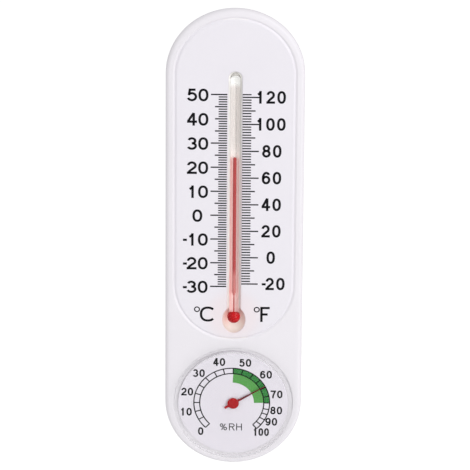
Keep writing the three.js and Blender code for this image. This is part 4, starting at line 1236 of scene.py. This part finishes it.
class Dial(bpy.types.Operator):
    """Models the enamelled dial with its ring scale, comfort band, numbers and sign"""

    bl_idname = "instrument.dial"
    bl_label = "Dial"

    # Each reading with its angle on the ring
    READINGS = {0: 226.5, 5: 209.4, 10: 195.2, 15: 180, 20: 164.6, 25: 149.4, 30: 134, 35: 117.6, 40: 103.1,
                45: 87.8, 50: 73, 55: 56, 60: 41.8, 65: 27, 70: 11.5, 75: 0, 80: -11.2, 85: -20, 90: -29.5,
                95: -39.4, 100: -48.5}
    # Each number with the angle and the radius at which its middle stands, in degrees and millimetres
    NUMBERS = {0: (227, 20.4), 10: (193, 21.5), 20: (164.6, 21.1), 30: (134.4, 21.3), 40: (104.3, 21.7),
               50: (71.6, 21.8), 60: (41.3, 22.2), 70: (11.7, 22.2), 80: (-10.2, 22), 90: (-26.8, 21.7),
               100: (-46.3, 21)}
    HUNDRED_NARROWING, DIGIT_ADVANCE = 0.88, 1.2
    COMFORT = (45, 75)
    # Each character of the humidity sign with its middle and its width
    SIGN = (("%", -4.5 * MM, 3.4 * MM), ("R", -0.5 * MM, 2.7 * MM), ("H", 2.9 * MM, 2.7 * MM))
    SIGN_HEIGHT = 3.6 * MM
    RIM_ROUND, HOLE_ROUND = 0.08 * MM, 0.05 * MM
    # How proud the bands stand. Black lies higher, and the ring, which crosses them, highest.
    INK = 0.015 * MM

    def execute(self, context):
        dial = self.dial = context.scene.instrument_dial
        self.disc()
        self.shift = dial.print_shift
        start, end = (self.READINGS[reading] for reading in self.COMFORT)
        for name, inner, outer, tint in (
            ("comfort_band", dial.band_inner, dial.ring_inner, tints().comfort),
            ("comfort_ring", dial.ring_inner, dial.ring_outer, tints().comfort_ring),
        ):
            look = finish(name.replace("_", " ").capitalize(), tint, {"IOR": 1.45}, roughness=0.5,
                          patch_change=0.15, patch_scale=600, grain_scale=4000, relief=0.15)
            stroke = self.round_about((inner + outer) / 2, start, end)
            self.lay(name, [stroke], outer - inner, self.INK, look)
        self.lay("ring_scale", self.ring(), dial.line, 3 * self.INK, ink())
        self.shift = dial.number_shift
        self.lay("dial_numbers", self.numbers(), dial.digit_pen, 2 * self.INK, ink())
        sign, z = [], LOWER_END - dial.unit_drop
        for character, x, width in self.SIGN:
            sign += lettered(character, x, z, width, self.SIGN_HEIGHT, dial.sign_pen)
        self.lay("humidity_sign", sign, dial.sign_pen, 2 * self.INK, ink())
        return {"FINISHED"}

    def disc(self):
        """The dial's disc, with its hole for the arbor"""
        thickness, hole, edge = DIAL_FACE - DIAL_BACK, self.dial.hole, DIAL_HIGH.x
        blank = turned("dial_disc", [
            (hole, 0),
            (edge - self.RIM_ROUND, 0), (edge, self.RIM_ROUND),
            (edge, thickness - self.RIM_ROUND), (edge - self.RIM_ROUND, thickness),
            (hole + self.HOLE_ROUND, thickness), (hole, thickness - self.HOLE_ROUND),
        ], (0, -DIAL_BACK, LOWER_END), OUTWARD, 2 * SPIN_STEPS, closed=True)
        dressed(softened(blank), "body", "dial_enamel", dial_enamel(), "dial_plate")

    def lay(self, name, strokes, pen, ink_height, look):
        """Prints strokes on the dial"""
        dressed(printed(name, strokes, pen, DIAL_FACE, ink_height), "body", "dial_enamel", look)

    def ring(self):
        """Strokes of the ring scale: its two lines, and a mark across them for each reading"""
        radii = (self.dial.ring_inner, self.dial.ring_outer)
        lines = [self.round_about(radius, self.READINGS[0], self.READINGS[100]) for radius in radii]
        return lines + [[self.spot(radius, turn) for radius in radii] for turn in self.READINGS.values()]

    def numbers(self):
        """Strokes of the numbers round the ring. The one of three digits is narrower."""
        dial, strokes = self.dial, []
        for reading, (turn, radius) in self.NUMBERS.items():
            x, z = self.spot(radius * MM, turn)
            width = dial.digit_width * (self.HUNDRED_NARROWING if reading > 99 else 1)
            strokes += number(str(reading), x, z, width, dial.digit_height, dial.digit_pen,
                              width * self.DIGIT_ADVANCE)
        return strokes

    def spot(self, radius, degrees):
        """A place on the dial, about the middle of its print"""
        turn = math.radians(degrees)
        return self.shift + radius * math.cos(turn), LOWER_END + radius * math.sin(turn)

    def round_about(self, radius, start, end):
        """Points of an arc about the dial's middle"""
        steps = max(8, round(abs(end - start) / 2))
        return [self.spot(radius, start + (end - start) * i / steps) for i in range(steps + 1)]


class DialCover(bpy.types.Operator):
    """Models the clear cap over the dial"""

    bl_idname = "instrument.dial_cover"
    bl_label = "Dial cover"

    # Rounding of the inner corner between wall and window
    CORNER = 0.3 * MM

    def execute(self, context):
        dial = context.scene.instrument_dial
        inside, window = CAP_RADIUS - dial.cap_wall, CRYSTAL_FRONT - dial.cap_window
        edge = dial.cap_round
        cap = turned("dial_cap", [
            (0, window),
            *reversed(rounding(inside - self.CORNER, window - self.CORNER, self.CORNER, 0, 90, 4)),
            (inside, CRYSTAL_BACK),
            (CAP_RADIUS, CRYSTAL_BACK),
            *rounding(CAP_RADIUS - edge, CRYSTAL_FRONT - edge, edge, 0, 90, 8),
            (0, CRYSTAL_FRONT),
        ], (0, 0, LOWER_END), OUTWARD, 4 * SPIN_STEPS)
        dressed(softened(cap), "body", "clear_plastic", clear_plastic(), "dial_crystal")
        return {"FINISHED"}


class Pointer(bpy.types.Operator):
    """Models the domed hub, the tapered needle and the tail"""

    bl_idname = "instrument.pointer"
    bl_label = "Pointer"

    # The hub's side is a share of its height, and the dome over it has the rest
    SIDE_SHARE, DOME_SHARE = 0.45, 0.55
    # First and last angle of the dome, and its steps
    DOME_TURNS = (0, 85, 12)
    HUB_EDGE, BLADE_EDGE = 0.1 * MM, 0.06 * MM

    def execute(self, context):
        dial = context.scene.instrument_dial
        thickness = HUB_FRONT - HUB_BACK
        dome = [(dial.hub * math.cos(t), thickness * (self.SIDE_SHARE + self.DOME_SHARE * math.sin(t)))
                for t in turns(*self.DOME_TURNS)]
        hub = turned("pointer_blade", [
            (0, 0), (dial.hub - self.HUB_EDGE, 0), (dial.hub, self.HUB_EDGE), *dome, (0, thickness),
        ], (0, -HUB_BACK, LOWER_END), OUTWARD)
        bore = drum("bore", dial.bore, HUB_BACK - MM, HUB_FRONT - dial.hub_skin, z=LOWER_END)
        worked(hub, "UNION", self.blade(dial))
        worked(hub, "DIFFERENCE", bore)
        placed(hub, z=-LOWER_END)
        placed(hub, z=LOWER_END, turn=-dial.shown)
        dressed(softened(hub), "needle", "red_enamel", red_enamel(), "pointer")
        return {"FINISHED"}

    def blade(self, dial):
        """The needle and its tail in one blade, widest where it crosses the hub"""
        low = HUB_BACK + self.HUB_EDGE
        blade = block("blade", 1, 1, low, low + dial.blade, z=LOWER_END)
        with editing(blade):
            for side, x, width in ((-1, -dial.tail, dial.tail_width), (1, dial.needle, dial.needle_tip)):
                for end in (-1, 1):
                    pick("VERT", lambda v: v.co.x * side > 0 and (v.co.z - LOWER_END) * end > 0)
                    bpy.ops.transform.translate(value=(x - side / 2, 0, end * width / 2 - end / 2))
            bpy.ops.mesh.select_all(action="SELECT")
            bpy.ops.mesh.bisect(plane_co=(0, 0, LOWER_END), plane_no=(1, 0, 0))
            for end in (-1, 1):
                pick("VERT", lambda v: abs(v.co.x) < HAIR and (v.co.z - LOWER_END) * end > 0)
                shape = bmesh.from_edit_mesh(bpy.context.edit_object.data)
                now = next(abs(v.co.z - LOWER_END) for v in shape.verts if v.select)
                bpy.ops.transform.translate(value=(0, 0, end * (dial.needle_root / 2 - now)))
            bpy.ops.mesh.select_all(action="SELECT")
            bpy.ops.mesh.bevel(offset=self.BLADE_EDGE, segments=2, affect="EDGES")
        return blade


class RearHousing(bpy.types.Operator):
    """Models the housing with its keyhole, its vents and its screw posts"""

    bl_idname = "instrument.rear_housing"
    bl_label = "Rear housing"

    RING_OUTER, RING_INNER, RING_TOP = 21.21 * MM, 20.01 * MM, 3.3 * MM
    # Radii of a screw post, of its bore, of the sink for the screw's head and of the way to the bush
    POST, BORE, SINK, ACCESS = 4.6 * MM, 1.6 * MM, 3 * MM, 3.6 * MM
    SINK_DEPTH = 2.25 * MM
    # Half the keyhole's slot, the radius of its head and how far that lies below the nail
    KEY_SLOT, KEY_HEAD, KEY_DROP = 2.2 * MM, 4.5 * MM, 9 * MM
    # Width and height of the rim that stiffens it inside
    KEY_RIM, KEY_RIM_HEIGHT = 1.8 * MM, 1.2 * MM
    # Radius of the vents' circle, width and spacing of the vents, and radius of the middle without them
    VENT_CIRCLE, VENT_WIDTH, VENT_PITCH, VENT_GUARD = 17.01 * MM, 2.2 * MM, 4.4 * MM, 5 * MM
    VENT_ROWS = range(-3, 4)

    def execute(self, context):
        sizes, places = context.scene.instrument_body, screw_places()
        top, back = parting_height(sizes) - sizes.seat_gap, sizes.back_round
        sunk, beyond = sizes.floor - MM, sizes.floor + MM
        rim = housing_radius(sizes, back)
        housing = loft("housing_tray", [
            (HOUSING_RADIUS, top),
            (rim, back),
            *[(radius, back - height) for radius, height in rounding(rim - back, 0, back, *EDGE_TURNS)],
        ], UPPER_END, LOWER_END)
        inner = HOUSING_RADIUS - sizes.wall
        outer = inner + sizes.tongue
        tongue = loft("tongue", [(outer, top - MM), (outer, top + sizes.tongue)], UPPER_END, LOWER_END)
        inside = loft("inside", [
            (inner, top + 2 * MM),
            (inner, top),
            (housing_radius(sizes, sizes.floor) - sizes.wall, sizes.floor),
        ], UPPER_END, LOWER_END)
        worked(housing, "UNION", tongue)
        worked(housing, "DIFFERENCE", inside)
        ring = worked(drum("ring", self.RING_OUTER, sunk, self.RING_TOP, z=LOWER_END), "DIFFERENCE",
                      drum("ring_inside", self.RING_INNER, 0, BEYOND, z=LOWER_END))
        posts = [drum("post", self.POST, sunk, POST_TOP, x, z) for x, z in places]
        worked(housing, "UNION", ring,
               self.keyhole("rim", self.KEY_RIM, sunk, sizes.floor + self.KEY_RIM_HEIGHT), *posts)
        bores = [drum("bore", self.BORE, -MM, BEYOND + MM, x, z) for x, z in places]
        sinks = [drum("sink", self.SINK, -MM, self.SINK_DEPTH, x, z) for x, z in places]
        access = drum("access", self.ACCESS, -MM, beyond, z=LOWER_END)
        keyhole = self.keyhole("keyhole", 0, -MM, BEYOND + MM)
        worked(housing, "DIFFERENCE", keyhole, self.vents(beyond), access, *bores, *sinks)
        dressed(softened(housing), "body", "white_plastic", body_plastic(), "rear_housing")
        return {"FINISHED"}

    def keyhole(self, name, extra, low, high):
        """The slot and the round head of the keyhole"""
        slot = self.KEY_SLOT + extra
        piece = loft(name, [(slot, low), (slot, high)], 0, -self.KEY_DROP)
        return worked(piece, "UNION", drum("head", self.KEY_HEAD + extra, low, high, z=-self.KEY_DROP))

    def vents(self, beyond):
        """Round-ended slots in rows within a circle, clear of the hole in the middle"""
        half, slots = self.VENT_WIDTH / 2, []
        for row in self.VENT_ROWS:
            rise = row * self.VENT_PITCH
            reach = math.sqrt(self.VENT_CIRCLE ** 2 - rise ** 2) - half
            slot = loft("vent", [(half, -MM), (half, beyond)], reach, -reach)
            slots.append(placed(slot, z=LOWER_END + rise, turn=QUARTER))
        guard = drum("guard", self.VENT_GUARD, -2 * MM, beyond + MM, z=LOWER_END)
        return worked(merged(slots), "DIFFERENCE", guard)


class CoverScrews(bpy.types.Operator):
    """Models a cross-recessed screw and copies it to its four places"""

    bl_idname = "instrument.cover_screws"
    bl_label = "Cover screws"

    # Height of the head, bevel under it and radius of the shank below the thread
    HEAD_HEIGHT, HEAD_EDGE, CORE = 1.8 * MM, 0.1 * MM, 1.05 * MM
    # The domed head: shares of its radius, each with its drop from the top
    HEAD = ((0.45, 0.06 * MM), (0.75, 0.3 * MM), (0.93, 0.7 * MM), (1, 1.15 * MM))
    # Where the first turn of the thread starts under the head and the pitch, in millimetres
    FIRST_THREAD, THREAD_PITCH, THREAD_COUNT = 0.8, 0.75, 9
    # The corners of one turn of the thread: radius and rise
    THREAD = ((1.05 * MM, 0), (1.3 * MM, 0.3 * MM), (1.3 * MM, 0.36 * MM), (1.05 * MM, 0.66 * MM))
    # Length, width and depth of an arm of the cross recess
    CROSS, CROSS_WIDTH, CROSS_DEPTH = 2.6 * MM, 0.7 * MM, 0.9 * MM

    def execute(self, context):
        low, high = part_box("cover_screw_1")
        head, top, tip = high.x - (low.x + high.x) / 2, -high.y, -low.y
        seat, thread = top + self.HEAD_HEIGHT, []
        for i in range(self.THREAD_COUNT):
            foot = seat + (self.FIRST_THREAD + self.THREAD_PITCH * i) * MM
            thread += [(radius, foot + rise) for radius, rise in self.THREAD]
        screw = turned("screw", [
            (0, top), *[(share * head, top + drop) for share, drop in self.HEAD],
            (head, seat - self.HEAD_EDGE), (head - self.HEAD_EDGE, seat),
            (self.CORE, seat), *thread, (0, tip),
        ], (0, 0, 0), OUTWARD, 48)
        for turn in (0, QUARTER):
            arm = block("arm", self.CROSS, self.CROSS_WIDTH, top - MM, top + self.CROSS_DEPTH)
            worked(screw, "DIFFERENCE", placed(arm, turn=turn))
        softened(screw)
        for i, (x, z) in enumerate(screw_places(), 1):
            piece = placed(copied(screw, f"case_screw_{i}"), x=x, z=z)
            dressed(piece, "body", "steel", steel(), f"cover_screw_{i}")
        bpy.data.objects.remove(screw)
        return {"FINISHED"}


class Movement(bpy.types.Operator):
    """Refines the hygrometer's case and the pieces of its movement"""

    bl_idname = "instrument.movement"
    bl_label = "Movement"

    # Each piece with its node, its body, its slot and the rounding of its edges in millimetres
    PIECES = (
        ("hygrometer_cup", "hygrometer_case", "body", "white_plastic", 0.12),
        ("bridge", "movement_bridge", "body", "steel", 0.1),
        ("bridge_bush", "front_bush", "body", "brass", 0.06),
        ("bridge_screw_left", "bridge_screw_1", "body", "steel", 0.08),
        ("bridge_screw_right", "bridge_screw_2", "body", "steel", 0.08),
        ("adjusting_bush", "calibration_bush", "calibrator", "brass", 0.06),
        ("adjusting_arm", "coil_arm", "calibrator", "brass", 0.06),
        ("coil", "humidity_coil", "calibrator", "coil_strip", 0),
        ("collet", "coil_collet", "needle", "brass", 0.06),
        ("pivot", "arbor", "needle", "steel", 0.05),
    )

    def execute(self, context):
        looks = {"white_plastic": body_plastic(), "steel": steel(), "brass": brass(),
                 "coil_strip": coil_strip()}
        for name, node, body, slot, width in self.PIECES:
            dressed(refined(name, node, width * MM), body, slot, looks[slot], node)
        return {"FINISHED"}


class Stage(bpy.types.Operator):
    """Sets up the floor, the camera, the lamps and the light from all round"""

    bl_idname = "instrument.stage"
    bl_label = "Stage"

    # Width of the floor and reach of the camera in metres, and width of its sensor in millimetres
    FLOOR_SIZE, FAR, SENSOR = 40, 100, 36
    # Place, width and height of each lamp, in metres
    KEY_LAMP = ((1.15, -1.32, 0.47), 1.1, 2)
    FILL_LAMP = ((-1.5, -1.3, 0.95), 1.6, 1.6)

    def execute(self, context):
        stage = context.scene.instrument_stage
        floor = added("floor", bpy.ops.mesh.primitive_plane_add, size=self.FLOOR_SIZE,
                      location=(0, 0, -stage.floor_drop))
        floor.data.materials.append(self.pale_floor(stage.glow))
        self.camera(context, stage)
        self.lamp("key", stage.key, *self.KEY_LAMP)
        self.lamp("fill", stage.fill, *self.FILL_LAMP)
        self.surroundings(context, stage.sky)
        context.scene.view_settings.view_transform = "Standard"
        return {"FINISHED"}

    def camera(self, context, stage):
        """The camera, at the photograph's angle"""
        aim = Vector((stage.aim_across, -FACE, stage.aim_height))
        back = Vector((0, -math.cos(stage.elevation), math.sin(stage.elevation)))
        camera = bpy.data.objects.new("camera", bpy.data.cameras.new("camera"))
        context.collection.objects.link(camera)
        camera.data.lens = stage.lens
        camera.data.sensor_width = self.SENSOR
        camera.data.clip_end = self.FAR
        camera.location = aim + back * stage.distance
        camera.rotation_euler = back.to_track_quat("Z", "Y").to_matrix().to_4x4().to_euler()
        camera.rotation_euler.rotate_axis("Z", stage.roll)
        context.scene.camera = camera

    def lamp(self, name, power, place, width, tall):
        """A soft lamp that points at the instrument"""
        lamp = bpy.data.objects.new(name, bpy.data.lights.new(name, "AREA"))
        bpy.context.collection.objects.link(lamp)
        lamp.data.energy = power
        lamp.data.shape = "RECTANGLE"
        lamp.data.size = width
        lamp.data.size_y = tall
        lamp.location = place
        lamp.visible_transmission = False
        middle = Vector((0, 0, (SHELL_LOW.z + SHELL_HIGH.z) / 2))
        lamp.rotation_euler = (Vector(place) - middle).to_track_quat("Z", "Y").to_euler()

    def surroundings(self, context, strength):
        """Light from all round, which the camera, gloss and glass see as white"""
        world = bpy.data.worlds.new("surroundings")
        world.use_nodes = True
        context.scene.world = world
        tree = world.node_tree
        light = tree.nodes.new("ShaderNodeLightPath").outputs
        seen = reckoned(tree, "MAXIMUM", light["Is Camera Ray"], light["Is Glossy Ray"])
        seen = reckoned(tree, "MAXIMUM", seen, light["Is Transmission Ray"])
        direct = reckoned(tree, "LESS_THAN", light["Diffuse Depth"], 0.5)
        level = wired(tree, "ShaderNodeMapRange", {
            "Value": reckoned(tree, "MULTIPLY", direct, seen), "To Min": strength, "To Max": 1})
        backdrop = tree.nodes["Background"].inputs
        backdrop["Color"].default_value = (1, 1, 1, 1)
        tree.links.new(level.outputs["Result"], backdrop["Strength"])

    def pale_floor(self, strength):
        """A pale floor, which the camera sees as white where no shadow lies"""
        look = finish("Pale floor", (0.9, 0.9, 0.9), {"IOR": 1.3}, roughness=0.8, patch_change=0.01,
                      patch_scale=2, grain_scale=60, relief=0.02)
        tree = look.node_tree
        light = tree.nodes.new("ShaderNodeLightPath").outputs
        glow = wired(tree, "ShaderNodeEmission", {"Strength": strength}).outputs[0]
        dark = wired(tree, "ShaderNodeEmission", {"Strength": 0}).outputs[0]
        seen = wired(tree, "ShaderNodeMixShader", {"Fac": light["Is Camera Ray"], 1: dark, 2: glow})
        both = wired(tree, "ShaderNodeAddShader", {
            0: tree.nodes["Principled BSDF"].outputs["BSDF"], 1: seen.outputs["Shader"]})
        tree.links.new(both.outputs["Shader"], tree.nodes["Material Output"].inputs["Surface"])
        return look


class InstrumentPanel(bpy.types.Panel):
    """Lists the operators of the instrument"""

    bl_idname = "VIEW3D_PT_instrument"
    bl_label = "Instrument"
    bl_space_type = "VIEW_3D"
    bl_region_type = "UI"
    bl_category = "Instrument"

    def draw(self, context):
        for operator in OPERATORS:
            self.layout.operator(operator.bl_idname)


SETTINGS = {"instrument_body": BodySizes, "instrument_prints": PrintSizes, "instrument_dial": DialSizes,
            "instrument_finishes": Finishes, "instrument_stage": StageSettings}
OPERATORS = (Stage, FrontShell, ScalePlate, ScaleMarks, Thermometer, Dial, DialCover, Pointer, RearHousing,
             CoverScrews, Movement)


def register():
    for settings in SETTINGS.values():
        bpy.utils.register_class(settings)
    for name, settings in SETTINGS.items():
        setattr(bpy.types.Scene, name, bpy.props.PointerProperty(type=settings))
    for operator in OPERATORS:
        bpy.utils.register_class(operator)
    bpy.utils.register_class(InstrumentPanel)


def unregister():
    bpy.utils.unregister_class(InstrumentPanel)
    for operator in reversed(OPERATORS):
        bpy.utils.unregister_class(operator)
    for name, settings in SETTINGS.items():
        delattr(bpy.types.Scene, name)
        bpy.utils.unregister_class(settings)


def main():
    register()
    for operator in OPERATORS:
        group, name = operator.bl_idname.split(".")
        getattr(getattr(bpy.ops, group), name)()


if __name__ == "__main__":
    main()
